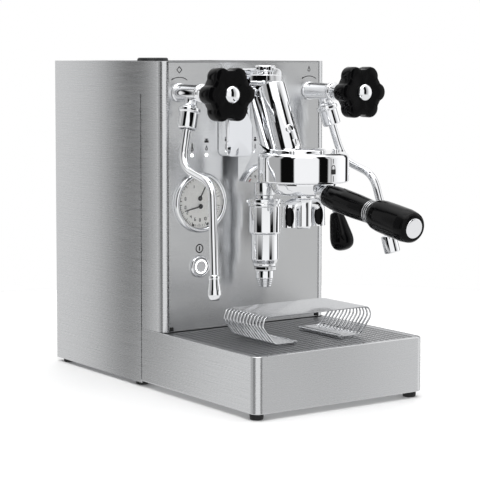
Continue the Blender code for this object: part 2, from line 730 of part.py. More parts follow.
def build_group_fittings():
    """What screws into the casting above and below, and what seals the brew chamber."""
    at = (0, CHAMBER_Y, 0)
    low = NUT_BASE + GAP
    nut = [(0, low), (0.0185, low), (0.020, low + 0.0015)]
    nut += [(0.020, NUT_TOP - 0.002), (0.018, NUT_TOP), (0, NUT_TOP)]
    turned("group_hex_nut", nut, chrome(), at, UP, 6)
    low, high = NUT_TOP + GAP, NUT_TOP + 0.010
    cap = [(0, low), (0.010, low), (0.010, low + 0.0032), (0.0125, low + 0.0047), (0.0125, high - 0.0013)]
    cap += [(0.011, high), (0, high)]
    turned("group_top_cap", cap, chrome(), at, UP, 6)
    at = (0, GROUP_Y, 0)
    inner = BASKET_RADIUS - 0.0005
    gasket_low = SEAT_HEIGHT + GAP
    gasket = [(inner, gasket_low), (GASKET_OUTER, gasket_low)]
    gasket += [(GASKET_OUTER, GASKET_TOP), (inner, GASKET_TOP)]
    turned("group_gasket", gasket, rubber(), at, UP, 24)
    screen = inner - GAP
    profile = [(0, GASKET_TOP - 0.005), (screen, GASKET_TOP - 0.005), (screen, GASKET_TOP), (0, GASKET_TOP)]
    turned("shower_screen", profile, chrome(), at, UP, 24)
    build_lower_chamber()


def build_lower_chamber():
    at = (0, CHAMBER_Y, 0)
    steps = [
        (0, 0),
        (0.0093, 0),
        (0.0093, 0.0035),
        (0.0185, 0.0035),
        (0.0185, 0.0115),
        (0.0175, 0.0120),
        (0.0175, 0.0408),
        (0.0165, 0.0420),
        (0.0148, 0.0420),
        (0.0148, 0.0725),
        (0.0130, 0.0745),
        (0.0130, 0.0772),
        (0, 0.0772),
    ]
    turned("lower_chamber", [(r, CHAMBER_TOP - drop) for r, drop in steps], chrome(), at, UP, 16)
    nut = [(0, 0), (0.0132, 0), (0.0132, 0.0048), (0, 0.0048)]
    drain = turned("drain_fitting", [(r, DRAIN_TOP - drop) for r, drop in nut], chrome(), at, UP, 6)
    steps = [
        (0, 0.0035),
        (0.0100, 0.0035),
        (0.0100, 0.0133),
        (0.0094, 0.0140),
        (0.0068, 0.0230),
        (0.0045, 0.0230),
        (0.0045, 0.0150),
        (0, 0.0150),
    ]
    join(drain, turned("drain_spout", [(r, DRAIN_TOP - drop) for r, drop in steps], chrome(), at, UP, 12))


def build_lever():
    """The camshaft in its bore, and the bent arm with its black knob."""
    axis_at = (0, CHAMBER_Y, LEVER_HEIGHT)
    start = NECK_WIDTH / 2 + RUNNING_GAP
    profile = [(0, -0.005), (LEVER_SHAFT_RADIUS, -0.005), (LEVER_SHAFT_RADIUS, start)]
    profile += [(0.0095, start), (0.0095, start + 0.006), (0.0070, start + 0.0075)]
    profile += [(0.0070, 0.036), (0, 0.036)]
    turned("camshaft", profile, chrome(), axis_at, RIGHT, SHAFT_STEPS)
    knob_top = Vector(front_place(LEVER_X, CHAMBER_REACH + 0.0415, LEVER_HEIGHT - 0.045))
    knob_axis = Vector((0, -0.36, -1)).normalized()
    corners = [
        (0.036 + GAP, CHAMBER_Y, LEVER_HEIGHT),
        (0.047, CHAMBER_Y, LEVER_HEIGHT),
        tuple(knob_top - knob_axis * 0.026),
        tuple(knob_top - knob_axis * GAP),
    ]
    arm = tube("lever_arm", rounded_path(corners, 0.006, 3), 0.0038, chrome(), 8)
    set_origin(arm, axis_at)
    length = LEVER_KNOB_LENGTH
    profile = [
        (0, 0),
        (0.0065, 0),
        (0.0080, 0.002),
        (0.0105, length * 0.35),
        (0.0130, length * 0.68),
        (0.0118, length * 0.86),
        (0.0070, length * 0.97),
        (0, length),
    ]
    knob = turned("lever_knob", profile, black_plastic(), knob_top, knob_axis, 12)
    knob.parent = arm
    knob.location = knob_top - Vector(axis_at)


# Portafilter


def handle_place(distance):
    """A place on the handle's line, measured from the group's axis."""
    drop = distance * math.tan(HANDLE_DROOP)
    return Vector((0, GROUP_Y - distance, HANDLE_HEIGHT - drop))


def build_portafilter():
    """The cup that locks into the bell, with its basket, spout and handle."""
    at = (0, GROUP_Y, 0)
    bore = BASKET_RADIUS + RUNNING_GAP
    profile = [
        (PORTAFILTER_RADIUS, BODY_TOP),
        (PORTAFILTER_RADIUS, BODY_BASE + 0.010),
        (PORTAFILTER_RADIUS - 0.0015, BODY_BASE + 0.0045),
        (PORTAFILTER_RADIUS - 0.0045, BODY_BASE + 0.0005),
        (PORTAFILTER_RADIUS - 0.0065, BODY_BASE),
        (OUTLET_RADIUS, BODY_BASE),
        (OUTLET_RADIUS, BODY_BASE + 0.003),
        (bore, BODY_BASE + 0.003),
        (bore, BODY_TOP),
    ]
    body = turned("portafilter_body", profile, chrome(), at, UP, 24)
    for k, middle in enumerate((0, 180)):
        outer = arc((0, GROUP_Y), EAR_RADIUS, middle - EAR_ANGLE, middle + EAR_ANGLE, 3)
        inner = arc((0, GROUP_Y), PORTAFILTER_RADIUS - 0.003, middle + EAR_ANGLE, middle - EAR_ANGLE, 3)
        ear_low = BELL_BASE + LIP_HEIGHT + RUNNING_GAP
        join(body, prism(f"ear_{k}", outer + inner, ear_low, BODY_TOP - 0.0002, chrome()))
    start = PORTAFILTER_RADIUS - 0.002
    length = (HANDLE_START - start) / math.cos(HANDLE_DROOP) - GAP
    neck = [(0, 0), (0.0075, 0), (0.0070, length - 0.003)]
    neck += [(0.0100, length - 0.002), (0.0100, length), (0, length)]
    join(body, turned("portafilter_neck", neck, chrome(), handle_place(start), HANDLE_LINE, 12))

    rim, wall = SEAT_HEIGHT, BASKET_WALL
    inside = BASKET_RADIUS - wall
    floor = BODY_BASE + 0.003 + RUNNING_GAP
    profile = [
        (0, floor),
        (BASKET_RADIUS - 0.003, floor),
        (BASKET_RADIUS, floor + 0.003),
        (BASKET_RADIUS, rim - 0.0012),
        (PORTAFILTER_RADIUS - 0.001, rim - 0.0012),
        (PORTAFILTER_RADIUS - 0.001, rim),
        (inside, rim),
        (inside, floor + 0.0034),
        (inside - 0.003, floor + wall),
        (0, floor + wall),
    ]
    basket = turned("filter_basket", profile, chrome(), at, UP, 20)
    ride(body, basket, build_spout(), *build_handle())


def build_spout():
    """The hub under the cup, with an open chute on either side."""
    top = BODY_BASE - GAP
    at = (0, GROUP_Y, 0)
    outline = [(0, top), (0.0125, top), (0.0125, top - 0.0035), (0.0092, top - 0.0045)]
    outline += [(0.0092, SPOUT_BASE - 0.002), (0, SPOUT_BASE - 0.002)]
    spout = turned("spout", outline, chrome(), at, UP, 14)
    for word, side in (("left", -1), ("right", 1)):
        corners = [
            (side * 0.003, GROUP_Y, top - 0.009),
            (side * SPOUT_REACH, GROUP_Y, top - 0.012),
            (side * SPOUT_REACH, GROUP_Y, SPOUT_BASE),
        ]
        chute = tube(f"chute_{word}", rounded_path(corners, 0.007, 3), CHUTE_RADIUS, chrome(), 8)
        join(spout, chute)
    for word, side in (("left", -1), ("right", 1)):
        x, y = side * (SPOUT_REACH + 0.0018), GROUP_Y - 0.0035
        path = [Vector((x, y, top - 0.015)), Vector((x, y, SPOUT_BASE - 0.002))]
        cut(spout, tube(f"channel_{word}", path, CHUTE_RADIUS - 0.0030, chrome(), 8))
    return spout


def build_handle():
    """The handle's front piece, its grip and its end cap, all on one line."""
    length = (HANDLE_SPLIT - HANDLE_START) / math.cos(HANDLE_DROOP) - GAP
    front = [
        (0, 0),
        (0.0105, 0),
        (0.0118, 0.0015),
        (0.0130, 0.020),
        (0.0125, length - 0.008),
        (0.0115, length - 0.006),
        (0.0118, length),
        (0, length),
    ]
    front_piece = turned("handle_front", front, black_plastic(), handle_place(HANDLE_START), HANDLE_LINE, 16)
    length = (HANDLE_END - HANDLE_SPLIT) / math.cos(HANDLE_DROOP) - 0.001
    pocket = 0.0103
    grip = [
        (0, 0),
        (0.0120, 0),
        (0.0150, 0.005),
        (0.0163, 0.012),
        (0.0166, length * 0.7),
        (0.0162, length - 0.008),
        (0.0148, length - 0.002),
        (0.0125, length),
        (pocket, length),
        (pocket, length - 0.003),
        (0, length - 0.003),
    ]
    grip_piece = turned("handle_grip", grip, black_plastic(), handle_place(HANDLE_SPLIT), HANDLE_LINE, 16)
    cap_radius = pocket - GAP
    low, high = length - 0.003 + GAP, length + 0.0008
    cap = [(0, low), (cap_radius, low), (cap_radius, high - 0.0006), (cap_radius - 0.0008, high), (0, high)]
    cap_piece = turned("handle_end_cap", cap, chrome(), handle_place(HANDLE_SPLIT), HANDLE_LINE, 16)
    return front_piece, grip_piece, cap_piece


# Valves and wands


def knob_outline():
    """A rounded star: a lobe at each sixth of the turn, and a hollow between two lobes."""
    points = []
    step = 360 / KNOB_LOBES
    for k in range(KNOB_LOBES):
        middle = k * step
        turn = math.radians(middle)
        centre = (KNOB_LOBE_CIRCLE * math.cos(turn), KNOB_LOBE_CIRCLE * math.sin(turn))
        points += arc(centre, KNOB_LOBE_RADIUS, middle - 75, middle + 75, 4)
    return points


def build_knob(word, side):
    """The lobed knob with its spindle, and the domed cap that covers the spindle's screw."""
    outline = knob_outline()
    bm = bmesh.new()
    levels = [(0.93, 0.0), (1.0, 0.0022), (1.0, KNOB_THICKNESS - 0.0028), (0.90, KNOB_THICKNESS)]
    rings = [[bm.verts.new((x * scale, y * scale, z)) for x, y in outline] for scale, z in levels]
    bm.faces.new(rings[0])
    bm.faces.new(rings[-1])
    for first, second in zip(rings, rings[1:]):
        for k in range(len(outline)):
            j = (k + 1) % len(outline)
            bm.faces.new([first[k], first[j], second[j], second[k]])
    at = front_place(side * VALVE_SPREAD, KNOB_BACK, VALVE_HEIGHT)
    knob = finished(f"{word}_knob", bm, black_plastic(), at, FORWARD)
    start = VALVE_END - KNOB_BACK + GAP
    spindle = rod(f"{word}_spindle", 0.0055, start, 0.002, black_plastic(), at, FORWARD, 10)
    join(knob, spindle)
    low = KNOB_THICKNESS + GAP
    dome = [(0, low), (0.0090, low), (0.0090, low + 0.0015), (0.0078, low + 0.0040), (0.0045, low + 0.0055)]
    dome.append((0, low + 0.0060))
    turned(f"{word}_knob_cap", dome, chrome(), at, FORWARD, 12)


def joint_line(side):
    """The ball joint's direction: down, a little outward and forward."""
    return Vector((side * math.tan(math.radians(15)), -math.tan(math.radians(8)), -1)).normalized()


def joint_root(side):
    return Vector(front_place(side * VALVE_SPREAD, WAND_REACH, VALVE_HEIGHT))


def build_valve(word, side):
    """The valve's body along its stem, with the neck of the ball joint under it."""
    at = front_place(side * VALVE_SPREAD, 0, VALVE_HEIGHT)
    face = GAP - PANEL_INSET
    profile = [
        (0, -0.014),
        (VALVE_SHANK_RADIUS, -0.014),
        (VALVE_SHANK_RADIUS, face),
        (VALVE_RADIUS, face),
        (VALVE_RADIUS, 0.040),
        (VALVE_RADIUS + 0.001, 0.041),
        (VALVE_RADIUS + 0.001, 0.045),
        (VALVE_RADIUS - 0.0015, 0.046),
        (VALVE_RADIUS - 0.0015, 0.060),
        (VALVE_RADIUS + 0.0012, 0.061),
        (VALVE_RADIUS + 0.0012, VALVE_END - 0.003),
        (VALVE_RADIUS - 0.002, VALVE_END),
        (0, VALVE_END),
    ]
    body = turned(f"{word}_valve", profile, chrome(), at, FORWARD, 14)
    neck = [(0, 0), (0.0070, 0), (0.0070, 0.0135), (0.0090, 0.0165), (0, 0.0165)]
    join(body, turned(f"{word}_neck", neck, chrome(), joint_root(side), joint_line(side), 12))


def build_ball_joint(word, side):
    """The nut and the seat that hold the wand's ball."""
    centre = joint_root(side) + joint_line(side) * BALL_DROP
    bore = SEAT_RADIUS + GAP
    top, collar_end, seat_end, end = -0.0107, -0.0062, 0.0063, 0.0120
    mouth = WAND_RADIUS + end * TILT_ROOM + RUNNING_GAP
    nut = [
        (bore, top),
        (NUT_COLLAR, top),
        (NUT_COLLAR, collar_end),
        (NUT_RADIUS, collar_end + 0.0008),
        (NUT_RADIUS, end - 0.0008),
        (NUT_RADIUS - 0.0008, end),
        (mouth, end),
        (mouth, seat_end),
        (bore, seat_end),
    ]
    turned(f"{word}_joint_nut", nut, chrome(), centre, joint_line(side), 12)
    room = BALL_RADIUS + RUNNING_GAP
    wide = WAND_RADIUS + 0.006 * TILT_ROOM + RUNNING_GAP
    below = math.degrees(math.acos(wide / room))
    above = math.degrees(math.acos(0.0045 / room))
    inside = arc((0, 0), room, below, -above, 4)
    seat = [(SEAT_RADIUS, -0.0065), (SEAT_RADIUS, 0.0060), (wide, 0.0060), *inside, (0.0045, -0.0065)]
    turned(f"{word}_joint_seat", seat, white_plastic(), centre, joint_line(side), 12)


def build_wand(word, side, end, tip_length):
    """The ball and the bent tube below it, up to where the tip is screwed on."""
    centre = joint_root(side) + joint_line(side) * BALL_DROP
    first_bend = joint_root(side) + joint_line(side) * 0.080
    second_bend = Vector(front_place(side * 0.1065, 0.091, VALVE_HEIGHT - 0.091))
    end = Vector(end)
    run = (end - second_bend).normalized()
    stop = end - run * (tip_length + GAP)
    path = rounded_path([centre, first_bend, second_bend, stop], 0.014, 4)
    wand = tube(f"{word}_wand", path, WAND_RADIUS, chrome(), 8)
    set_origin(wand, centre)
    ball = [(0, -BALL_RADIUS)]
    ball += [(BALL_RADIUS * math.cos(a), BALL_RADIUS * math.sin(a)) for a in (-1.05, -0.52, 0, 0.52)]
    ball.append((0, BALL_RADIUS * 0.7))
    join(wand, turned(f"{word}_ball", ball, chrome(), centre, joint_line(side), 12))
    return wand, end - run * tip_length, run


def build_steam_side():
    build_valve("steam", -1)
    build_knob("steam", -1)
    build_ball_joint("steam", -1)
    wand, start, run = build_wand("steam", -1, STEAM_END, STEAM_TIP_LENGTH)
    length = STEAM_TIP_LENGTH
    profile = [
        (0, 0),
        (0.0050, 0),
        (0.0052, 0.004),
        (0.0068, length - 0.008),
        (0.0068, length - 0.003),
        (0.0040, length),
        (0, length),
    ]
    tip = turned("steam_tip", profile, chrome(), start, run, 12)
    ride(wand, tip)


def build_water_side():
    build_valve("water", 1)
    build_knob("water", 1)
    build_ball_joint("water", 1)
    wand, start, run = build_wand("water", 1, WATER_END, WATER_NOZZLE_LENGTH)
    length = WATER_NOZZLE_LENGTH
    profile = [
        (0, 0),
        (0.0080, 0),
        (0.0090, 0.001),
        (0.0090, length - 0.001),
        (0.0082, length),
        (0.0065, length),
        (0.0065, length - 0.004),
        (0, length - 0.004),
    ]
    nozzle = turned("water_nozzle", profile, chrome(), start, run, 12)
    ride(wand, nozzle)


# Gauge, button and lights


def build_gauge():
    """The can with its bezel, the dial, two needles and the glass."""
    at = (GAUGE_X, FRONT_Y, GAUGE_HEIGHT)
    face = GAP - PANEL_INSET
    floor = -0.0015
    housing = [
        (0, -GAUGE_DEPTH),
        (GAUGE_CAN_RADIUS, -GAUGE_DEPTH),
        (GAUGE_CAN_RADIUS, face),
        (GAUGE_RADIUS, face),
        (GAUGE_RADIUS, 0.0030),
        (GAUGE_RADIUS - 0.0015, 0.0048),
        (GAUGE_WINDOW + 0.0015, 0.0050),
        (GAUGE_WINDOW, 0.0042),
        (GAUGE_WINDOW, floor),
        (0, floor),
    ]
    turned("gauge_housing", housing, chrome(), at, FORWARD, 24)
    radius = GAUGE_WINDOW - GAP
    rod("gauge_dial", radius, floor + GAP, floor + 0.0011, white_plastic(), at, FORWARD, 24)
    rod("gauge_glass", radius, 0.0024, 0.0036, clear_plastic(), at, FORWARD, 24)
    build_needle("boiler_needle", 1, 61.3, BOILER_NEEDLE, 0.0)
    build_needle("pump_needle", -1, 192, PUMP_NEEDLE, 0.0010)


def build_needle(name, side, angle, length, height):
    """A tapered hand with a round boss, turned about its pivot."""
    pivot = (GAUGE_X, FRONT_Y, GAUGE_HEIGHT + side * NEEDLE_SPLIT)
    outline = [(length, -0.0002), (length, 0.0002)]
    outline += arc((0, 0), 0.0019, 25, 155, 4)
    outline += [(-0.0040, 0.0006), (-0.0040, -0.0006)]
    outline += arc((0, 0), 0.0019, 205, 335, 4)
    turn = math.radians(angle)
    turned_points = []
    for x, y in outline:
        across = x * math.cos(turn) - y * math.sin(turn)
        up = x * math.sin(turn) + y * math.cos(turn)
        turned_points.append((pivot[0] + across, pivot[2] + up))
    needle = prism(name, turned_points, FRONT_Y - height - 0.0005, FRONT_Y - height, black_plastic(), "XZ")
    set_origin(needle, pivot)


def build_button_and_lights():
    at = (GAUGE_X, FRONT_Y, BUTTON_HEIGHT)
    face = GAP - PANEL_INSET
    inside = BUTTON_RADIUS + RUNNING_GAP
    bezel = [
        (inside, -0.018),
        (BUTTON_BARREL_RADIUS, -0.018),
        (BUTTON_BARREL_RADIUS, face),
        (0.0120, face),
        (0.0120, 0.0016),
        (0.0110, 0.0028),
        (inside, 0.0028),
    ]
    turned("power_button_bezel", bezel, chrome(), at, FORWARD, 16)
    profile = [(0, -0.012), (BUTTON_RADIUS, -0.012), (BUTTON_RADIUS, 0.0020)]
    profile += [(BUTTON_RADIUS - 0.0006, 0.0026), (0, 0.0026)]
    turned("power_button", profile, white_plastic(), at, FORWARD, 16)
    for word, side in (("left", -1), ("right", 1)):
        light = (GAUGE_X + side * LIGHT_SPACING / 2, FRONT_Y, LIGHT_HEIGHT)
        lens = [(0, -0.005), (LIGHT_RADIUS, -0.005), (LIGHT_RADIUS, -0.0004)]
        lens += [(LIGHT_RADIUS * 0.6, 0.0004), (0, 0.0006)]
        turned(f"light_{word}", lens, white_plastic(), light, FORWARD, 8)


# Inside the cabinet


def build_boiler():
    """A lying boiler whose right end takes the heating element."""
    at = (0, FRONT_Y + BOILER_SETBACK, BOILER_HEIGHT)
    half = BOILER_LENGTH / 2
    inside = BOILER_RADIUS - SHEET
    shell = [
        (0, -half),
        (BOILER_RADIUS - 0.020, -half),
        (BOILER_RADIUS, -half + 0.009),
        (BOILER_RADIUS, half - 0.003),
        (PORT_RADIUS + 0.007, half - 0.003),
        (PORT_RADIUS + 0.007, half),
        (PORT_RADIUS, half),
        (PORT_RADIUS, half - 0.003 - SHEET),
        (inside, half - 0.003 - SHEET),
        (inside, -half + 0.009 + SHEET / 2),
        (BOILER_RADIUS - 0.0207, -half + SHEET),
        (0, -half + SHEET),
    ]
    turned("boiler", shell, copper(), at, RIGHT, 16)
    flange = half + GAP
    steel = brushed_steel()
    element = rod("heating_element", PORT_RADIUS + 0.006, flange, flange + 0.004, steel, at, RIGHT, 12)
    leg = 0.009
    reach = -0.045
    corners = [(flange + 0.002, leg), (reach, leg), (reach, -leg), (flange + 0.002, -leg)]
    path = [Vector(at) + Vector((along, 0, up)) for along, up in corners]
    join(element, tube("element_loop", rounded_path(path, 0.008, 3), 0.004, brushed_steel(), 6))


def build_pump():
    at = (0, FRONT_Y + BOILER_SETBACK, BASE_TOP + GAP + PUMP_RADIUS)
    half = PUMP_LENGTH / 2
    profile = [
        (0, -half),
        (0.010, -half),
        (0.010, -half + 0.012),
        (PUMP_RADIUS, -half + 0.014),
        (PUMP_RADIUS, half - 0.014),
        (0.008, half - 0.012),
        (0.008, half),
        (0, half),
    ]
    turned("pump", profile, black_plastic(), at, FORWARD, 12)


def build_machine():
    for thing in list(bpy.data.objects):
        bpy.data.objects.remove(thing, do_unlink=True)
    build_casing()
    build_power_inlet()
    build_front_panel()
    build_chassis_base()
    build_top()
    build_water_tank()
    build_feet()
    build_drip_tray()
    build_cup_stand()
    build_group()
    build_group_fittings()
    build_lever()
    build_portafilter()
    build_steam_side()
    build_water_side()
    build_gauge()
    build_button_and_lights()
    build_boiler()
    build_pump()


build_machine()
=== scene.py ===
"""Looks of a single group espresso machine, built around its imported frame.

Metres, +Z up, the front faces -Y. Profiles are written in millimetres, and mm() makes metres of them.
Every new piece is a surface worked out with numpy in the row's frame.
"""

import json
import logging
import math
from collections.abc import Sequence
from dataclasses import dataclass, field
from enum import Enum

import bmesh
import bpy
import numpy as np
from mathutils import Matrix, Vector


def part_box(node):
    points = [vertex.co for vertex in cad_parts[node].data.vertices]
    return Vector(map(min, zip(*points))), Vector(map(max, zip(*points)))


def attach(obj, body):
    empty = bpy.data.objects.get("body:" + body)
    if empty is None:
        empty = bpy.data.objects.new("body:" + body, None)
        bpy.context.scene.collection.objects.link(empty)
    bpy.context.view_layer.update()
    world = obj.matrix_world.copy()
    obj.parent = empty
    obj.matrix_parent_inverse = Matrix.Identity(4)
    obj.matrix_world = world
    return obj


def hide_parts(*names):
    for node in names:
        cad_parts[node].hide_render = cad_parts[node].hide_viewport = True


log = logging.getLogger("espresso_machine")
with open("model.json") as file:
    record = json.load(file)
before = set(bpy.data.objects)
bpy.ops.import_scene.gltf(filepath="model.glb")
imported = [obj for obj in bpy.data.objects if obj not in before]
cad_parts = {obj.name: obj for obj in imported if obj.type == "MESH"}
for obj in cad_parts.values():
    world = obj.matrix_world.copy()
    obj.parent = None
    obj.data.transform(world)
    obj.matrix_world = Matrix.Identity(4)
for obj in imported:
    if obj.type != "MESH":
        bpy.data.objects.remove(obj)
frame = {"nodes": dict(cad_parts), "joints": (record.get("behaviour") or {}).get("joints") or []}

ORIGIN = (0.0, 0.0, 0.0)
UP = (0.0, 0.0, 1.0)
FORWARD = (0.0, -1.0, 0.0)
RIGHT = (1.0, 0.0, 0.0)
MIRROR = (-1, 1)
DOWNWARD = (1, -1)
PLANES = {"XY": (0, 1, 2), "XZ": (0, 2, 1), "YZ": (1, 2, 0)}
SMOOTH_ANGLE = math.radians(32)
TOUCH = 1e-6
WELD = 1e-7

GAP = 0.0003
SHEET = 0.0015
CORNER = 0.009
SEAM = 0.0006
PANEL_STEP = 0.0008
BELL_DROP = 0.126


# Surfaces


def mm(*points: Sequence[float]) -> np.ndarray:
    """Points given in millimetres, as an array in metres."""
    return np.array(points, float) / 1000


def arc(centre: Sequence[float], radius: float | Sequence[float], start: float, end: float, count: int) -> np.ndarray:
    """Points on a part of a circle or an ellipse: c + (r cos a, r sin a).

    Args:
        centre: the middle, c.
        radius: r, or one radius for each axis.
        start: the first angle in degrees.
        end: the last angle in degrees.
        count: how many points.

    Returns:
        The points in a plane.
    """
    angle = np.radians(np.linspace(start, end, count))
    return np.array(centre) + np.stack([np.cos(angle), np.sin(angle)], axis=1) * radius


def circle(count: int) -> np.ndarray:
    """Evenly spread angles round a whole turn, the last one short of the first."""
    return np.linspace(0, 2 * math.pi, count, endpoint=False)


@dataclass(frozen=True)
class Surface:
    """Points and faces of one or more closed shells.

    Args:
        points: an array of N places.
        faces: index tuples, anticlockwise from outside.
    """

    points: np.ndarray
    faces: list

    def placed(self, at: Sequence[float] = ORIGIN, along: Sequence[float] = UP, turn: float = 0.0) -> "Surface":
        """The surface turned about its own +Z, laid along a direction and moved.

        Args:
            at: where the surface's own origin goes.
            along: where its own +Z points.
            turn: degrees about its own +Z, before it is laid along.

        Returns:
            The moved surface.
        """
        angle = math.radians(turn)
        spin = np.array([[math.cos(angle), -math.sin(angle), 0], [math.sin(angle), math.cos(angle), 0], [0, 0, 1]])
        lay = np.array(Vector(UP).rotation_difference(Vector(along)).to_matrix())
        return Surface(self.points @ spin.T @ lay.T + np.array(at), self.faces)

    def scaled(self, x: float = 1.0, y: float = 1.0, z: float = 1.0) -> "Surface":
        """The surface stretched along its own axes."""
        return Surface(self.points * np.array([x, y, z]), self.faces)


def merged(*surfaces: Surface) -> Surface:
    """Several surfaces as one, their indices shifted one after the other.

    Args:
        surfaces: the surfaces to join.

    Returns:
        One surface with all their shells.
    """
    starts = np.cumsum([0] + [len(s.points) for s in surfaces[:-1]])
    faces = [tuple(int(i) + int(start) for i in face) for s, start in zip(surfaces, starts) for face in s.faces]
    return Surface(np.concatenate([s.points for s in surfaces]), faces)


def lofted(rings: Sequence[np.ndarray], closed_rows: bool = False, caps: bool = True) -> Surface:
    """Quads between rings of as many points; each end is closed by a fan to the ring's mean point.

    Args:
        rings: rows of points.
        closed_rows: joins the last row to the first, as on a torus.
        caps: closes the first and last row.

    Returns:
        The surface.
    """
    rings = np.asarray(rings)
    if caps and not closed_rows:
        first = np.repeat(rings[:1].mean(axis=1, keepdims=True), rings.shape[1], axis=1)
        last = np.repeat(rings[-1:].mean(axis=1, keepdims=True), rings.shape[1], axis=1)
        rings = np.concatenate([first, rings, last])
    rows, columns = rings.shape[:2]
    row = np.arange(rows if closed_rows else rows - 1)[:, None]
    column = np.arange(columns)[None, :]
    below, above = row * columns, ((row + 1) % rows) * columns
    after = (column + 1) % columns
    quads = np.stack([below + column, below + after, above + after, above + column], axis=-1).reshape(-1, 4)
    return Surface(rings.reshape(-1, 3), [tuple(q) for q in quads.tolist()])


def softened(corners: Sequence, radius: float | Sequence[float], steps: int = 4, closed: bool = False) -> np.ndarray:
    """A polyline whose inner corners are eased by quadratic curves: B(t) = (1-t)^2 a + 2t(1-t) c + t^2 b.

    Args:
        corners: the points, in two or three dimensions.
        radius: how far from each corner its curve starts, never past 0.45 of a side.
        steps: spans in each curve.
        closed: the last point joins the first.

    Returns:
        The eased points.
    """
    points = np.asarray(corners, float)
    if closed:
        middles, before, after = points, np.roll(points, 1, 0), np.roll(points, -1, 0)
    else:
        middles, before, after = points[1:-1], points[:-2], points[2:]
    back, ahead = before - middles, after - middles
    back_length = np.linalg.norm(back, axis=1, keepdims=True)
    ahead_length = np.linalg.norm(ahead, axis=1, keepdims=True)
    reach = np.minimum(np.broadcast_to(np.atleast_1d(radius), len(middles))[:, None], 0.45 * back_length)
    reach = np.minimum(reach, 0.45 * ahead_length)
    start, end = middles + back / back_length * reach, middles + ahead / ahead_length * reach
    t = np.linspace(0, 1, steps + 1)[None, :, None]
    curves = start[:, None] * (1 - t) ** 2 + middles[:, None] * 2 * t * (1 - t) + end[:, None] * t**2
    curves = curves.reshape(-1, points.shape[1])
    return curves if closed else np.concatenate([points[:1], curves, points[-1:]])


def turned(outline: Sequence, steps: int = 48, soft: float = 0.0005, spans: int = 3) -> Surface:
    """A surface of revolution: (r, h) goes to (r cos a, r sin a, h).

    Args:
        outline: (radius, height) from axis to axis, or round a closed ring.
        steps: points in each circle.
        soft: how far each edge of the outline is rounded.
        spans: spans in each rounding.

    Returns:
        The surface.
    """
    ring = outline[0][0] > 0
    profile = softened(outline, soft, spans, closed=ring) if soft else np.asarray(outline, float)
    angle = circle(steps)[None, :]
    radius, height = profile[:, :1], profile[:, 1:2]
    rings = np.stack([radius * np.cos(angle), radius * np.sin(angle), height + 0 * angle], axis=-1)
    return lofted(rings, closed_rows=ring, caps=False)


def inset(outline: np.ndarray, amount: float) -> np.ndarray:
    """An outline moved inward along the normal of each point, the mean of its two sides' normals.

    Args:
        outline: the points of one closed loop.
        amount: how far in.

    Returns:
        The smaller loop.
    """
    ahead, back = np.roll(outline, -1, 0) - outline, outline - np.roll(outline, 1, 0)
    ahead /= np.linalg.norm(ahead, axis=1, keepdims=True)
    back /= np.linalg.norm(back, axis=1, keepdims=True)
    tangent = ahead + back
    tangent /= np.linalg.norm(tangent, axis=1, keepdims=True)
    x, y = outline.T
    signed = np.sum(x * np.roll(y, -1) - np.roll(x, -1) * y)
    inward = np.stack([-tangent[:, 1], tangent[:, 0]], axis=1) * math.copysign(1, signed)
    stretch = 1 / np.clip(np.sum(tangent * ahead, axis=1, keepdims=True), 0.5, 1)
    return outline + inward * amount * stretch


def extruded(outline: np.ndarray, low: float, high: float, edge: float = 0.0005, plane: str = "XY") -> Surface:
    """An outline carried between two heights, its edges rounded by a quarter circle in three spans.

    Args:
        outline: the points of one closed loop.
        low: where it starts on the third axis.
        high: where it ends.
        edge: the radius of the rounding.
        plane: the plane that the outline lies in.

    Returns:
        The surface.
    """
    angle = np.linspace(0, math.pi / 2, 4)
    drawn, risen = edge * (1 - np.sin(angle)), edge * (1 - np.cos(angle))
    insets = np.concatenate([drawn, drawn[::-1]])
    heights = np.concatenate([low + risen, high - risen[::-1]])
    first, second, third = PLANES[plane]
    rings = np.empty((len(insets), len(outline), 3))
    for ring, amount, height in zip(rings, insets, heights):
        ring[:, [first, second]] = inset(outline, amount) if amount > 0 else outline
        ring[:, third] = height
    return lofted(rings)


def rectangle(left: float, right: float, low: float, high: float, radius: float, steps: int = 8) -> np.ndarray:
    """A rectangle's outline with rounded corners."""
    corners = [(left, low), (right, low), (right, high), (left, high)]
    return softened(corners, radius, steps, closed=True)


def swept(path: np.ndarray, radius: float | np.ndarray, across: Sequence[float], sides: int = 20) -> Surface:
    """A tube: each ring is p + r (cos a u + sin a v), with u = path x across and v square to both.

    Args:
        path: the points of the centre line.
        radius: one radius, or one for each point.
        across: a direction that the path never runs along.
        sides: points in each ring.

    Returns:
        The surface.
    """
    heading = np.gradient(path, axis=0)
    heading /= np.linalg.norm(heading, axis=1, keepdims=True)
    u = np.cross(heading, np.array(across, float))
    u /= np.linalg.norm(u, axis=1, keepdims=True)
    v = np.cross(heading, u)
    angle = circle(sides)[None, :, None]
    reach = np.broadcast_to(np.atleast_1d(radius), len(path))[:, None, None]
    return lofted(path[:, None] + reach * (np.cos(angle) * u[:, None] + np.sin(angle) * v[:, None]))


def hexagon(across: float, low: float, high: float, chamfer: float) -> Surface:
    """A nut or bolt head of six sides on the lever's shaft line, its corners turned down.

    Args:
        across: its size across the flats.
        low: the underside.
        high: the top.
        chamfer: how far its edges are rounded.

    Returns:
        The surface, with two of its corners pointing left and right.
    """
    outline = arc((0, 0), across / math.sqrt(3), 30, 330, 6)
    shape = extruded(softened(outline, 0.0004, 2, closed=True), low, high, chamfer)
    return shape.placed((0, AT.chamber_y, 0), UP, 30)


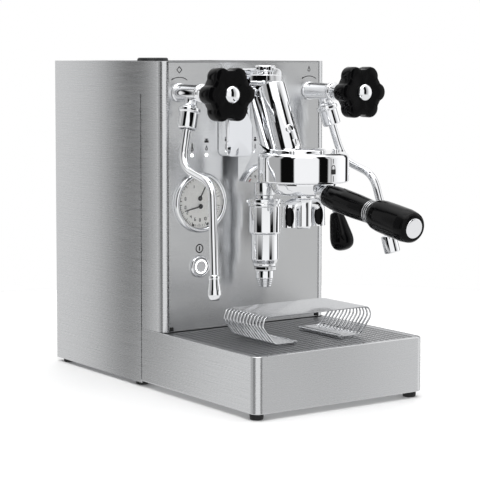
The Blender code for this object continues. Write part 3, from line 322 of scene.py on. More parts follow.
def perforated(xs: np.ndarray, ys: np.ndarray, solid: np.ndarray, low: float, high: float) -> Surface:
    """A plate of cells between two sets of lines, with walls wherever a solid cell meets an open one.

    Args:
        xs: the lines across X.
        ys: the lines across Y.
        solid: a boolean array that says which cells are filled.
        low: the underside.
        high: the top.

    Returns:
        The surface.
    """
    rows, top = len(ys), len(xs) * len(ys)
    x, y = np.meshgrid(xs, ys, indexing="ij")
    flat = np.stack([x.ravel(), y.ravel()], axis=1)
    points = np.concatenate([np.column_stack([flat, np.full(top, z)]) for z in (low, high)])
    i, j = np.nonzero(solid)
    a, b, c, d = i * rows + j, (i + 1) * rows + j, (i + 1) * rows + j + 1, i * rows + j + 1
    faces = [np.stack([a + top, b + top, c + top, d + top], 1), np.stack([d, c, b, a], 1)]
    padded = np.pad(solid, 1)
    for (di, dj), (p, q) in zip(((0, -1), (1, 0), (0, 1), (-1, 0)), ((a, b), (b, c), (c, d), (d, a))):
        open_side = ~padded[i + 1 + di, j + 1 + dj]
        p, q = p[open_side], q[open_side]
        faces.append(np.stack([p, q, q + top, p + top], 1))
    return Surface(points, [tuple(f) for f in np.concatenate(faces).tolist()])


# Finishes


def linear(code: str) -> tuple[float, float, float, float]:
    """An sRGB hex value as linear colour with full alpha: ((c + 0.055) / 1.055)^2.4, and c / 12.92 near black.

    Args:
        code: six hex digits.

    Returns:
        Red, green, blue and alpha.
    """
    channels = np.array([int(code[k : k + 2], 16) for k in (0, 2, 4)]) / 255
    straight = np.where(channels <= 0.04045, channels / 12.92, ((channels + 0.055) / 1.055) ** 2.4)
    return (*(float(c) for c in straight), 1.0)


def add_node(tree: bpy.types.NodeTree, kind: str, links: dict | None = None, **settings: object) -> bpy.types.Node:
    """Adds a node.

    Args:
        tree: the material's node tree.
        kind: the node's type name.
        links: input name or number to the socket that feeds it, or to a plain value.
        settings: properties of the node itself.

    Returns:
        The node.
    """
    node = tree.nodes.new(kind)
    for name, value in settings.items():
        setattr(node, name, value)
    for name, source in (links or {}).items():
        if isinstance(source, bpy.types.NodeSocket):
            tree.links.new(source, node.inputs[name])
        else:
            node.inputs[name].default_value = source
    return node


class Grain(Enum):
    """Which way a brushed sheet's lines run, as the stretch of its pattern along X, Y and Z."""

    EVEN = (1.0, 1.0, 1.0)
    LEVEL = (0.012, 0.012, 1.0)
    CROSSWISE = (0.012, 1.0, 1.0)


@dataclass(frozen=True)
class Finish:
    """A finish with a fine mottle in its roughness and a shallow bump.

    Args:
        name: what the surface is made of and how it was made.
        slot: the record's material slot that it stands for, if one; not used.
        colour: sRGB hex.
        metallic: 1 for a bare metal.
        roughness: the middle of its range.
        spread: how far the roughness strays either way.
        pitch_mm: the size of the mottle.
        bump: how strong the relief is, 0 for none.
        shade: a second hex colour that the mottle brings in.
        grain: the stretch of the pattern.
        extra: further shader sockets and their values.
    """

    name: str
    slot: str | None
    colour: str
    metallic: float
    roughness: float
    spread: float
    pitch_mm: float
    bump: float
    shade: str | None = None
    grain: Grain = Grain.EVEN
    extra: tuple = ()

    def material(self) -> bpy.types.Material:
        """The finish as a material, made once.

        Returns:
            The material.
        """
        known = bpy.data.materials.get(self.name)
        if known:
            return known
        made = bpy.data.materials.new(self.name)
        made.use_nodes = True
        tree = made.node_tree
        shader = tree.nodes["Principled BSDF"]
        shader.inputs["Metallic"].default_value = self.metallic
        shader.inputs["Base Color"].default_value = linear(self.colour)
        for socket, value in self.extra:
            shader.inputs[socket].default_value = value
        place = add_node(tree, "ShaderNodeTexCoord")
        mapping = {"Vector": place.outputs["Object"], "Scale": self.grain.value}
        mapping = add_node(tree, "ShaderNodeMapping", mapping)
        # One cell of the noise is about the pitch wide.
        noise = {"Vector": mapping.outputs[0], "Scale": 1000 / self.pitch_mm, "Detail": 4.0}
        value = add_node(tree, "ShaderNodeTexNoise", noise).outputs["Fac"]
        low, high = max(self.roughness - self.spread, 0.0), min(self.roughness + self.spread, 1.0)
        spread = {"Value": value, "From Min": 0.3, "From Max": 0.7, "To Min": low, "To Max": high}
        rough = add_node(tree, "ShaderNodeMapRange", spread)
        tree.links.new(rough.outputs[0], shader.inputs["Roughness"])
        if self.shade:
            self.mottle(tree, value, shader)
        if self.bump:
            relief = {"Height": value, "Strength": self.bump, "Distance": self.pitch_mm / 4000}
            bump = add_node(tree, "ShaderNodeBump", relief)
            tree.links.new(bump.outputs[0], shader.inputs["Normal"])
        return made

    def mottle(self, tree: bpy.types.NodeTree, value: bpy.types.NodeSocket, shader: bpy.types.Node) -> None:
        """Lets the pattern move the colour between the finish's two.

        Args:
            tree: the material's node tree.
            value: the pattern, from 0 to 1.
            shader: the shader that takes the colour.
        """
        mix = add_node(tree, "ShaderNodeMix", data_type="RGBA")
        factor, first, second = (s for s in mix.inputs if s.enabled)
        tree.links.new(value, factor)
        first.default_value, second.default_value = linear(self.colour), linear(self.shade)
        tree.links.new(next(s for s in mix.outputs if s.enabled), shader.inputs["Base Color"])


def glow(strength: float) -> tuple:
    """Shader sockets for white light from the surface itself."""
    return (("Emission Color", (1, 1, 1, 1)), ("Emission Strength", strength))


def clear(share: float, ior: float) -> tuple:
    """Shader sockets for a stuff that lets a share of the light through."""
    return (("Transmission Weight", share), ("IOR", ior))


LEVEL, CROSSWISE = Grain.LEVEL, Grain.CROSSWISE
# Brushing along a sheet smears what it mirrors across the lines, so its gloss is long up and down.
BRUSHED = (("Anisotropic", 0.92), ("Anisotropic Rotation", 0.25))
# Stainless sheet, belt brushed level: a soft grey sheen with hair-thin lines. The real lines are 0.05 mm apart
# and are drawn 0.5 mm apart so that they show.
SIDE_SHEET = Finish(
    "stainless_sheet_brushed", "casing_steel", "D5D6D7", 1, 0.27, 0.03, 0.5, 0.010, "CDCED0", LEVEL, BRUSHED
)
# The same sheet brushed with a finer belt: brighter, and it still shows soft upright streaks of what is near.
FRONT_SHEET = Finish(
    "stainless_sheet_brushed_fine", None, "E2E3E4", 1, 0.24, 0.02, 0.5, 0.008, "D9DADB", LEVEL, BRUSHED
)
# The same sheet brushed from side to side for the top, with the lines a little deeper.
TOP_SHEET = Finish(
    "stainless_sheet_brushed_crosswise", None, "CBCCCD", 1, 0.30, 0.06, 0.5, 0.08, "B2B3B5", CROSSWISE
)
# Stainless sheet as it comes from the mill: an even satin.
MILL_SHEET = Finish("stainless_sheet_mill", None, "B5B6B8", 1, 0.36, 0.05, 2.0, 0.03, "A4A5A8")
# Chrome over polished brass: mirror bright, with the faintest ripple left by the polishing wheel.
CHROME = Finish("chrome_plate_polished", "chrome", "EDEEF0", 1, 0.035, 0.015, 6.0, 0.0)
# Drawn steel wire, tumbled bright: a mirror a little blurred by the drawing.
WIRE = Finish("steel_wire_polished", "stand_wire", "D6D7D9", 1, 0.14, 0.04, 1.5, 0.03)
# Phenolic resin pressed in a polished mould: deep black with a clear gloss.
PHENOLIC = Finish(
    "phenolic_moulded_gloss", "black_plastic", "070708", 0, 0.12, 0.03, 1.2, 0.01, extra=(("Specular IOR Level", 0.10),)
)
# Nylon from an etched mould: black with a dull satin.
NYLON = Finish("nylon_moulded_satin", "cap_black", "17181A", 0, 0.42, 0.06, 0.5, 0.10, "1D1E20")
# Rubber pressed in a plain mould: black, with hardly any shine.
RUBBER = Finish("rubber_moulded_matt", "rubber", "101011", 0, 0.72, 0.06, 0.4, 0.15, "1A1A1B")
# PTFE turned from bar: a waxy white.
PTFE = Finish("ptfe_turned", None, "E6E5DF", 0, 0.40, 0.05, 0.8, 0.05, "DCDBD4")
# White enamel printed on a dial plate. It glows faintly to make up for the light that the glass over it keeps out.
ENAMEL_WHITE = Finish(
    "dial_enamel_printed", None, "E9E9E6", 0, 0.35, 0.04, 1.0, 0.02, "E2E2DE", extra=glow(0.16)
)
# Screen printed inks: thin and flat, with no shine of their own.
INK_BLACK = Finish("ink_printed_black", None, "141415", 0, 0.55, 0.05, 0.3, 0.05)
INK_RED = Finish("ink_printed_red", None, "B3261E", 0, 0.5, 0.05, 0.3, 0.05)
# Copper sheet, bare and handled: a warm satin with darker clouds.
COPPER = Finish("copper_sheet_bare", None, "C98A63", 1, 0.30, 0.07, 3.0, 0.04, "B3724C")
# Copolyester blown in a polished mould: clear with a faint blue.
TANK_CLEAR = Finish("copolyester_moulded_clear", None, "DCE6EA", 0, 0.08, 0.02, 5.0, 0.0, extra=clear(0.9, 1.57))
# Float glass: flat, bright and without colour.
GLASS = Finish("glass_float_clear", None, "FFFFFF", 0, 0.01, 0.005, 5.0, 0.0, extra=clear(1.0, 1.5))
# A frosted lens over a lit lamp: an even white light.
LAMP = Finish("lens_lit_white", "lamp_white", "FFFFFF", 0, 0.25, 0.02, 1.0, 0.0, extra=glow(2.5))
# A moulded button sprayed with pale lacquer: smooth, light grey and softly glossy.
BUTTON = Finish("button_lacquered_pale", "button_grey", "D3D4D6", 0, 0.30, 0.04, 0.5, 0.03, "CBCCCE")
# A painted board: an even, dull white.
FLOOR = Finish("floor_painted_pale", None, "F4F4F4", 0, 0.65, 0.03, 4.0, 0.0, "F2F2F2")


def shown(
    name: str, surface: Surface, finish: Finish, body: str, node: str | None = None
) -> bpy.types.Object:
    """Makes a piece of a surface, lets it ride on a body and hides the CAD node that it stands for.

    Args:
        name: the piece's name.
        surface: its shape, in the row's frame.
        finish: what it is made of.
        body: the CAD body that it moves with.
        node: the CAD node that it replaces.

    Returns:
        The new object.
    """
    mesh = bpy.data.meshes.new(name)
    mesh.from_pydata(surface.points.tolist(), [], surface.faces)
    shell = bmesh.new()
    shell.from_mesh(mesh)
    bmesh.ops.remove_doubles(shell, verts=shell.verts, dist=WELD)
    bmesh.ops.dissolve_degenerate(shell, dist=WELD, edges=shell.edges)
    bmesh.ops.recalc_face_normals(shell, faces=shell.faces)
    shell.to_mesh(mesh)
    shell.free()
    mesh.materials.append(finish.material())
    mesh.shade_smooth()
    mesh.set_sharp_from_angle(angle=SMOOTH_ANGLE)
    piece = bpy.data.objects.new(name, mesh)
    bpy.context.scene.collection.objects.link(piece)
    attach(piece, body)
    if node:
        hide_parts(node)
    log.info("%s on %s: %d faces", name, body, len(mesh.polygons))
    return piece


def dress(finish: Finish, *nodes: str) -> None:
    """Gives CAD nodes that stay in view a finish in each of their material slots.

    Args:
        finish: what they are made of.
        nodes: their names.
    """
    for node in nodes:
        slots = frame["nodes"][node].data.materials
        if not slots:
            slots.append(finish.material())
        for k in range(len(slots)):
            slots[k] = finish.material()
        log.info("%s dressed in %s", node, finish.name)


# The frame


def joint(name: str) -> dict:
    """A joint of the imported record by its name."""
    return next(j for j in frame["joints"] if j["name"] == name)


def middle(node: str) -> Vector:
    """The middle of a CAD node's box."""
    low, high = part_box(node)
    return (low + high) / 2


@dataclass(frozen=True)
class Layout:
    """Where things are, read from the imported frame."""

    front_y: float
    back_y: float
    half_width: float
    case_base: float
    case_top: float
    tray_front_y: float
    tray_base: float
    tray_top: float
    seam_y: float
    group_y: float
    chamber_y: float
    valve_z: float
    valve_x: float

    @classmethod
    def read(cls) -> "Layout":
        """Takes the places from the CAD nodes' boxes and the joints.

        Returns:
            The layout.
        """
        wrap_low, wrap_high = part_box("casing_wrap")
        tray_low, tray_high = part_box("tray_housing")
        return cls(
            front_y=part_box("front_panel")[0].y - PANEL_STEP,
            back_y=wrap_high.y,
            half_width=wrap_high.x,
            case_base=wrap_low.z,
            case_top=wrap_high.z,
            tray_front_y=tray_low.y,
            tray_base=tray_low.z,
            tray_top=tray_high.z,
            seam_y=tray_high.y + SEAM,
            group_y=joint("portafilter_turn")["pos_m"][1],
            chamber_y=joint("lever_turn")["pos_m"][1],
            valve_z=joint("steam_knob_turn")["pos_m"][2],
            valve_x=joint("water_knob_turn")["pos_m"][0],
        )

    @property
    def bell_base(self) -> float:
        """The lower edge of the bell."""
        return self.case_top - BELL_DROP

    def ahead(self, x: float, reach: float, height: float) -> tuple[float, float, float]:
        """A place given by its distance in front of the front plane."""
        return (x, self.front_y - reach, height)


AT = Layout.read()


@dataclass
class Cabinet:
    """The folded wrap, the tray's housing, the front panel and what stands under and on them."""

    slit: float = 0.0016
    slit_top: float = 0.322
    fold: float = 0.0026
    inlet_half: tuple[float, float] = (0.0143, 0.0108)
    inlet_at: tuple[float, float] = (0.060, 0.040)
    edge: float = 0.00025
    ribs: int = 40
    rib_depth: float = 0.0004

    def build(self) -> None:
        """Makes and dresses every piece of the cabinet."""
        self.wrap()
        self.tray()
        dress(FRONT_SHEET, "front_panel")
        dress(MILL_SHEET, "chassis_base")
        dress(TOP_SHEET, "cup_tray", "tank_lid")
        dress(TANK_CLEAR, "water_tank")
        self.tank_cap()
        self.feet()
        self.inlet()

    def corner(self, front: float, drawn: float = 0.0) -> np.ndarray:
        """The left front corner's quarter circle, as seen from above, drawn in by an amount."""
        return arc((CORNER - AT.half_width, front + CORNER), CORNER - drawn, 270, 180, 17)

    def wrap(self) -> None:
        """The wrap: its path in XY is carried up Z as a grid of cells, less the tray's notch, the slits and the inlet.

        The corner is a quarter circle. The wall's inner side is the same path moved inward by the sheet.
        """
        half, back, slit_front = AT.half_width, AT.back_y, AT.seam_y - self.slit / 2
        (inlet_x, inlet_z), (inlet_width, inlet_height) = self.inlet_at, self.inlet_half
        start = [(CORNER - half, AT.front_y + self.fold)]
        slit = [(-half, slit_front), (-half, slit_front + self.slit)]
        rear_corner = mm((0, -2), (0.3, -0.7), (0.7, -0.3), (2, 0)) + (-half, back)
        left = np.concatenate([start, self.corner(AT.front_y), slit, rear_corner])
        hole = [(inlet_x - inlet_width, back), (inlet_x + inlet_width, back)]
        path = np.concatenate([left, hole, left[::-1] * MIRROR])
        ahead = np.gradient(path, axis=0)
        normal = np.stack([-ahead[:, 1], ahead[:, 0]], axis=1)
        normal /= np.linalg.norm(normal, axis=1, keepdims=True)
        inner = path - normal * SHEET
        inlet = (inlet_z - inlet_height, inlet_z + inlet_height)
        zs = np.array([AT.case_base, *inlet, AT.tray_top + GAP, self.slit_top, AT.case_top])
        spans, levels = len(path) - 1, len(zs) - 1
        solid = np.ones((spans, levels), bool)
        x, y = ((path[1:] + path[:-1]) / 2).T
        solid[y < slit_front, :3] = False
        solid[(np.abs(y - AT.seam_y) < self.slit) & (np.abs(x) > half - TOUCH), :4] = False
        solid[(y > back - TOUCH) & (np.abs(x - inlet_x) < TOUCH), 1] = False
        plate = perforated(np.arange(spans + 1.0), np.arange(levels + 1.0), solid, 0.0, 1.0)
        index = plate.points.round().astype(int)
        side = np.where(index[:, 2:3] == 1, path[index[:, 0]], inner[index[:, 0]])
        sheet = Surface(np.column_stack([side, zs[index[:, 1]]]), plate.faces)
        piece = shown("wrap_sheet", sheet, SIDE_SHEET, "machine", "casing_wrap")
        edge = piece.modifiers.new("rolled_edge", "BEVEL")
        edge.width, edge.segments, edge.limit_method, edge.angle_limit = self.edge, 2, "ANGLE", math.radians(60)

    def tray(self) -> None:
        """The tray's housing: a tub whose outline is a rectangle with two round front corners."""
        half, back, low, high = AT.half_width, AT.seam_y - SEAM, AT.tray_base, AT.tray_top
        levels = [(0.0008, low), (0.0, low + 0.0008), (0.0, high - 0.0004), (0.0004, high)]
        levels += [(SHEET - 0.0003, high), (SHEET, high - 0.0004), (SHEET, low + SHEET)]
        rings = []
        for drawn, height in levels:
            left = np.concatenate([self.corner(AT.tray_front_y, drawn), [(drawn - half, back - drawn)]])
            ring = np.concatenate([left, left[::-1] * MIRROR])
            rings.append(np.column_stack([ring, np.full(len(ring), height)]))
        shown("tray_shell", lofted(rings), SIDE_SHEET, "machine", "tray_housing")

    def tank_cap(self) -> None:
        """A knurled cap: r(a) = R - k (1 - cos 40a) / 2 on its rim, over a shallow dished top."""
        low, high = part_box("tank_lid_cap")
        centre, radius, height = (low + high) / 2, (high.x - low.x) / 2, high.z - low.z
        angle = circle(4 * self.ribs)
        rows = [(1.0, 0.0, 1), (1.0, 0.55, 1), (0.96, 0.85, 0), (0.90, 1.0, 0), (0.70, 0.92, 0), (0.3, 0.9, 0)]
        rings = []
        for share, rise, ribbed in rows:
            reach = radius * share - ribbed * self.rib_depth * (1 - np.cos(self.ribs * angle)) / 2
            x, y = centre.x + reach * np.cos(angle), centre.y + reach * np.sin(angle)
            rings.append(np.stack([x, y, np.full(len(angle), low.z + rise * height)], axis=1))
        shown("tank_cap", lofted(rings), NYLON, "tank_lid", "tank_lid_cap")

    def feet(self) -> None:
        """Six round rubber feet with a soft lower edge."""
        for name in (f"foot_{row}_{side}" for row in ("front", "middle", "rear") for side in ("left", "right")):
            low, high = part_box(name)
            radius = (high.y - low.y) / 2
            outline = [(0, 0), (radius - 0.0004, 0), (radius, high.z * 0.5), (radius, high.z), (0, high.z)]
            foot = turned(outline, 40, 0.0007).placed((middle(name).x, middle(name).y, 0))
            shown(f"{name}_rubber", foot, RUBBER, "machine", name)

    def inlet(self) -> None:
        """The three flat pins inside the inlet's socket."""
        dress(NYLON, "power_inlet")
        low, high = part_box("power_inlet")
        pins = []
        for dx, dz in mm((-6.5, -1.5), (6.5, -1.5), (0, 2.5)):
            x, z = middle("power_inlet").x + dx, middle("power_inlet").z + dz
            outline = rectangle(x - 0.001, x + 0.001, z - 0.002, z + 0.002, 0.0004, 2)
            pins.append(extruded(outline, low.y + 0.0024, high.y - 0.006, 0.0003, "XZ"))
        shown("inlet_pins", merged(*pins), MILL_SHEET, "machine")


@dataclass
class DripTray:
    """The pan, the perforated grid and the wire stand on it."""

    slots: tuple[int, int] = (26, 40)
    bars: tuple[float, float] = (0.0024, 0.0018)
    margin: float = 0.004
    drawn_corner: float = 0.0026
    wires: int = 13
    wire_radius: float = 0.0010
    stand_half: float = 0.0645

    def build(self) -> None:
        """Makes the grid and the stand, and dresses the pan."""
        dress(MILL_SHEET, "drip_pan")
        self.grid()
        self.stand()

    def lines(self, low: float, high: float, count: int, bar: float) -> np.ndarray:
        """Edges of evenly spaced slots inside a margin, with a bar on either side of each.

        Args:
            low: where the plate starts.
            high: where it ends.
            count: how many slots.
            bar: how wide the bars are.

        Returns:
            The edges, with the plate's own two at the ends.
        """
        start, end = low + self.margin, high - self.margin
        pitch = (end - start - bar) / count
        starts = start + bar + np.arange(count) * pitch
        return np.sort(np.concatenate([[low, start], starts, starts + pitch - bar, [end, high]]))

    def grid(self) -> None:
        """A plate of narrow slots; the two front corners are drawn in to clear the housing's round ones."""
        low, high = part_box("drip_grid")
        xs = self.lines(low.x, high.x, self.slots[0], self.bars[0])
        ys = self.lines(low.y, high.y, self.slots[1], self.bars[1])
        i, j = np.meshgrid(np.arange(len(xs) - 1), np.arange(len(ys) - 1), indexing="ij")
        rim = (i == 0) | (j == 0) | (i == len(xs) - 2) | (j == len(ys) - 2)
        solid = rim | ~((i % 2 == 0) & (j % 2 == 0))
        plate = perforated(xs, ys, solid, low.z + 0.0015, high.z)
        points = plate.points.copy()
        corner = (points[:, 1] < low.y + TOUCH) & (np.abs(points[:, 0]) > high.x - TOUCH)
        points[corner, 0] -= np.sign(points[corner, 0]) * self.drawn_corner
        points[corner, 1] += self.drawn_corner
        parts = [Surface(points, plate.faces)]
        for front in (low.y + 0.004, high.y - 0.0052):
            outline = rectangle(low.x + 0.006, high.x - 0.006, front, front + 0.0012, 0.0003, 2)
            parts.append(extruded(outline, low.z, low.z + 0.0016, 0.0002))
        shown("grid_plate", merged(*parts), MILL_SHEET, "drip_grid", "drip_grid")

    def stand(self) -> None:
        """Bent wires side by side, each the same eased path in XZ, on two bars along Y."""
        low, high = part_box("cup_stand")
        radius, half = self.wire_radius, self.stand_half
        foot, top = low.z + 2 * radius, high.z - radius
        bar_x = half - 0.034
        side = [(bar_x - 0.003, foot), (half - 0.008, foot), (half + 0.0076, foot + 0.0190)]
        side += [(half + 0.0035, top - 0.0008), (half - 0.006, top)]
        side = softened(side, [0.004, 0.012, 0.008], 7)
        path = np.concatenate([side, side[::-1] * MIRROR])
        parts = []
        for y in np.linspace(low.y + 2 * radius, high.y - 2 * radius, self.wires):
            line = np.column_stack([path[:, 0], np.full(len(path), y), path[:, 1]])
            parts.append(swept(line, radius, (0, 1, 0), 8))
        span = high.y - low.y
        bar = turned([(0, 0), (2 * radius, 0), (2 * radius, span), (0, span)], 16, 0.0004)
        parts += [bar.placed((x, high.y, foot), FORWARD) for x in (-bar_x, bar_x)]
        shown("stand_wire", merged(*parts), WIRE, "cup_stand", "cup_stand")


@dataclass
class BrewGroup:
    """The chrome casting on the wall, its nuts and what hangs under it."""

    flange_half: float = 0.037
    flange_depth: float = 0.016
    neck_half: float = 0.0213
    bell_height: float = 0.031
    bell_radius_mm: float = 48
    chamber_radius_mm: float = 17.5
    bolt_angles: tuple[int, ...] = (215, 270, 325)

    def build(self) -> None:
        """Makes the casting and its fittings."""
        self.casting()
        self.nuts()
        self.plug()
        self.lower_chamber()
        self.drain()
        dress(MILL_SHEET, "shower_screen")
        dress(RUBBER, "group_gasket")

    def casting(self) -> None:
        """Flange, web and slanted barrel are closed shells that run into each other; the bell is turned and hollow."""
        base, front, half = AT.bell_base, AT.front_y, self.flange_half
        flange = rectangle(-half, half, base + 0.0225, AT.case_top - 0.008, 0.007)
        parts = [extruded(flange, front - self.flange_depth, front + 0.0005, 0.0012, "XZ")]
        reach_and_height = mm(
            (14, -4.5), (50, -4.5), (58, 5.2), (99, 5.2), (99, 27), (69, 31), (39.5, 88), (39, 99.5), (14, 99.5)
        )
        web = softened(reach_and_height * MIRROR + (front, base), 0.0020, 4, True)
        parts.append(extruded(web, -self.neck_half, self.neck_half, 0.0010, "YZ"))
        low, high = np.array(AT.ahead(0, 0.080, base + 0.027)), np.array(AT.ahead(0, 0.0455, base + 0.105))
        length = 0.93 * float(np.linalg.norm(high - low))
        parts.append(turned([(0, 0), (0.0150, 0), (0.0150, length), (0, length)], 64, 0.0015).placed(low, high - low))
        stub = turned(mm((0, 0), (11.6, 0), (11.6, 20), (0, 20)), 48, 0.0006)
        parts.append(stub.placed((0, AT.chamber_y, base - 0.0187)))
        shown("group_casting", merged(*parts, self.bell(), *self.ring_and_bolts()), CHROME, "machine", "group_body")

    def bell(self) -> Surface:
        """The bell, whose profile goes round its outside, its lip, the bayonet groove and the seat.

        Returns:
            The surface.
        """
        r, h = self.bell_radius_mm, 1000 * self.bell_height
        outside = [(0, h), (r - 5, h), (r - 1.2, 29.5), (r, 26.5), (r, 1.5), (r - 1.2, 0), (35.4, 0)]
        groove = [(35.4, 7), (40.4, 7), (40.4, 14.9), (36.9, 14.9), (36.9, 24.8), (0, 24.8)]
        return turned(mm(*outside, *groove), 96, 0.0010, 4).placed((0, AT.group_y, AT.bell_base))

    def ring_and_bolts(self) -> list[Surface]:
        """The raised ring where the barrel meets the bell, and the socket bolts round it.

        Returns:
            The ring and the bolts.
        """
        top = AT.bell_base + self.bell_height
        ring = turned(mm((0, -1), (30.5, -1), (29, 2.8), (20, 4.2), (0, 4.2)), 64, 0.0012)
        bolt = turned(mm((0, -1), (3.2, -1), (3.2, 3.2), (1.7, 3.2), (1.7, 1.5), (0, 1.5)), 24, 0.0003)
        parts = [ring.placed((0, AT.group_y + 0.010, top))]
        for angle in np.radians(self.bolt_angles):
            x, y = 0.0345 * math.cos(angle), 0.0345 * math.sin(angle)
            parts.append(bolt.placed((x, AT.group_y + 0.002 + y, top - 0.0002)))
        return parts

    def nuts(self) -> None:
        """The big hexagon and the small two-tier cap over the chamber's axis."""
        low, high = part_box("group_hex_nut")
        collar = turned(mm((0, 0), (15, 0), (15, 1.4), (0, 1.4)), 48, 0.0004)
        collar = collar.placed((0, AT.chamber_y, high.z - 0.001))
        big = hexagon(0.0335, low.z, high.z, 0.0008)
        shown("chamber_hexagon", merged(big, collar), CHROME, "machine", "group_hex_nut")
        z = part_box("group_top_cap")[0].z
        steps = mm((0, 0), (9.2, 0), (9.2, 3), (11.2, 4.2), (11.2, 8.8), (9.8, 10), (0, 10))
        stem = turned(steps).placed((0, AT.chamber_y, z))
        head = hexagon(0.0215, z + 0.0045, z + 0.0084, 0.0006)
        shown("chamber_cap", merged(stem, head), CHROME, "machine", "group_top_cap")

    def plug(self) -> None:
        """A slotted round plug on the barrel's front, with the small cone and knurled nut under it."""
        base, slant = AT.bell_base, (0.0, 0.40, 0.92)
        plug = turned(mm((0, 0), (4.8, 0), (4.8, 2.4), (3.6, 3.2), (3.4, 2.6), (0, 2.6)), 36, 0.0003)
        plug = plug.placed(AT.ahead(-0.0022, 0.0832, base + 0.0545), (-0.13, -0.90, 0.41))
        cone = turned(mm((0, 0), (4.2, 0), (5, 6), (0, 6)), 36, 0.0004)
        cone = cone.placed(AT.ahead(0.0010, 0.0880, base + 0.0370), slant)
        nut = turned(mm((0, 0), (4.5, 0), (5.2, 1.2), (4.5, 3.4), (0, 3.4)), 36, 0.0003)
        nut = nut.placed(AT.ahead(0.0020, 0.0905, base + 0.0318), slant)
        shown("barrel_plug", merged(plug, cone, nut), CHROME, "machine")

    def lower_chamber(self) -> None:
        """Stepped cylinders on one axis, with a ring of eight small bolts."""
        top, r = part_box("lower_chamber")[1].z, self.chamber_radius_mm
        steps = [(0, 0), (9.3, 0), (9.3, 3.5), (18.7, 3.5), (18.7, 7.5), (18, 8.2), (18.7, 9), (18.7, 11.5), (r, 12)]
        steps += [(r, 40), (16.6, 42), (14.8, 42), (14.8, 70), (13.8, 72.5), (13, 74.5), (13, 77.2), (0, 77.2)]
        body = turned(mm(*steps) * DOWNWARD, 72, 0.0007).placed((0, AT.chamber_y, top))
        bolt = turned(mm((0, 0), (2.2, 0), (2.2, 2.2), (0, 2.2)), 16, 0.0003)
        bolts = []
        for angle in np.radians(np.arange(0, 360, 45) + 12):
            x, y = math.cos(angle), math.sin(angle)
            bolts.append(bolt.placed((0.0178 * x, AT.chamber_y + 0.0178 * y, top - 0.0073), (x, y, 0)))
        shown("chamber_barrel", merged(body, *bolts), CHROME, "machine", "lower_chamber")

    def drain(self) -> None:
        """The drain's hexagon and its ribbed open tip."""
        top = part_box("drain_fitting")[1].z
        ribs = [(r, 14.2 + 1.1 * k) for k, r in enumerate((8.8, 9.2, 8.4, 8.7, 7.9, 8.1, 7.3, 7.5))]
        steps = [(0, 4), (9.8, 4), (9.8, 13.3), (9.2, 14.2), *ribs, (6.8, 23), (4.5, 23), (4.5, 15), (0, 15)]
        tip = turned(mm(*steps) * DOWNWARD, 48, 0.0002, 2).placed((0, AT.chamber_y, top))
        shown("drain_tip", merged(hexagon(0.0229, top - 0.0048, top, 0.0007), tip), CHROME, "machine", "drain_fitting")


@dataclass
class Lever:
    """The brew lever: its shaft, bent arm and pear-shaped knob."""

    height: float = 0.006
    knob_mm: float = 42
    knob_at: tuple[float, float, float] = (0.066, -0.0415, -0.045)
    hang: tuple[float, float, float] = (0, -0.36, -1.0)

    def build(self) -> None:
        """Makes the three pieces on the lever's body."""
        y, z = AT.chamber_y, AT.bell_base + self.height
        steps = mm((0, -5), (5, -5), (5, 21.9), (9.5, 21.9), (9.5, 27.9), (7, 29.4), (7, 36), (0, 36))
        shown("lever_hub", turned(steps, 48, 0.0006).placed((0, y, z), RIGHT), CHROME, "lever", "camshaft")
        top = np.array((0, y, z)) + self.knob_at
        axis = np.array(self.hang) / np.linalg.norm(self.hang)
        path = softened([(0.0355, y, z), (0.047, y, z), top - axis * 0.026, top - axis * GAP], 0.008, 10)
        shown("lever_bar", swept(path, 0.0038, (0, 0.66, -0.68), 24), CHROME, "lever", "lever_arm")
        n = self.knob_mm
        pear = [(0, 0), (6.2, 0), (7.2, 1.5), (9, n * 0.20), (10.8, n * 0.42), (12.7, n * 0.66)]
        pear += [(12.6, n * 0.80), (10.5, n * 0.92), (6, n * 0.985), (0, n)]
        shown("lever_pear", turned(mm(*pear), 56, 0.004, 4).placed(top, axis), PHENOLIC, "lever", "lever_knob")


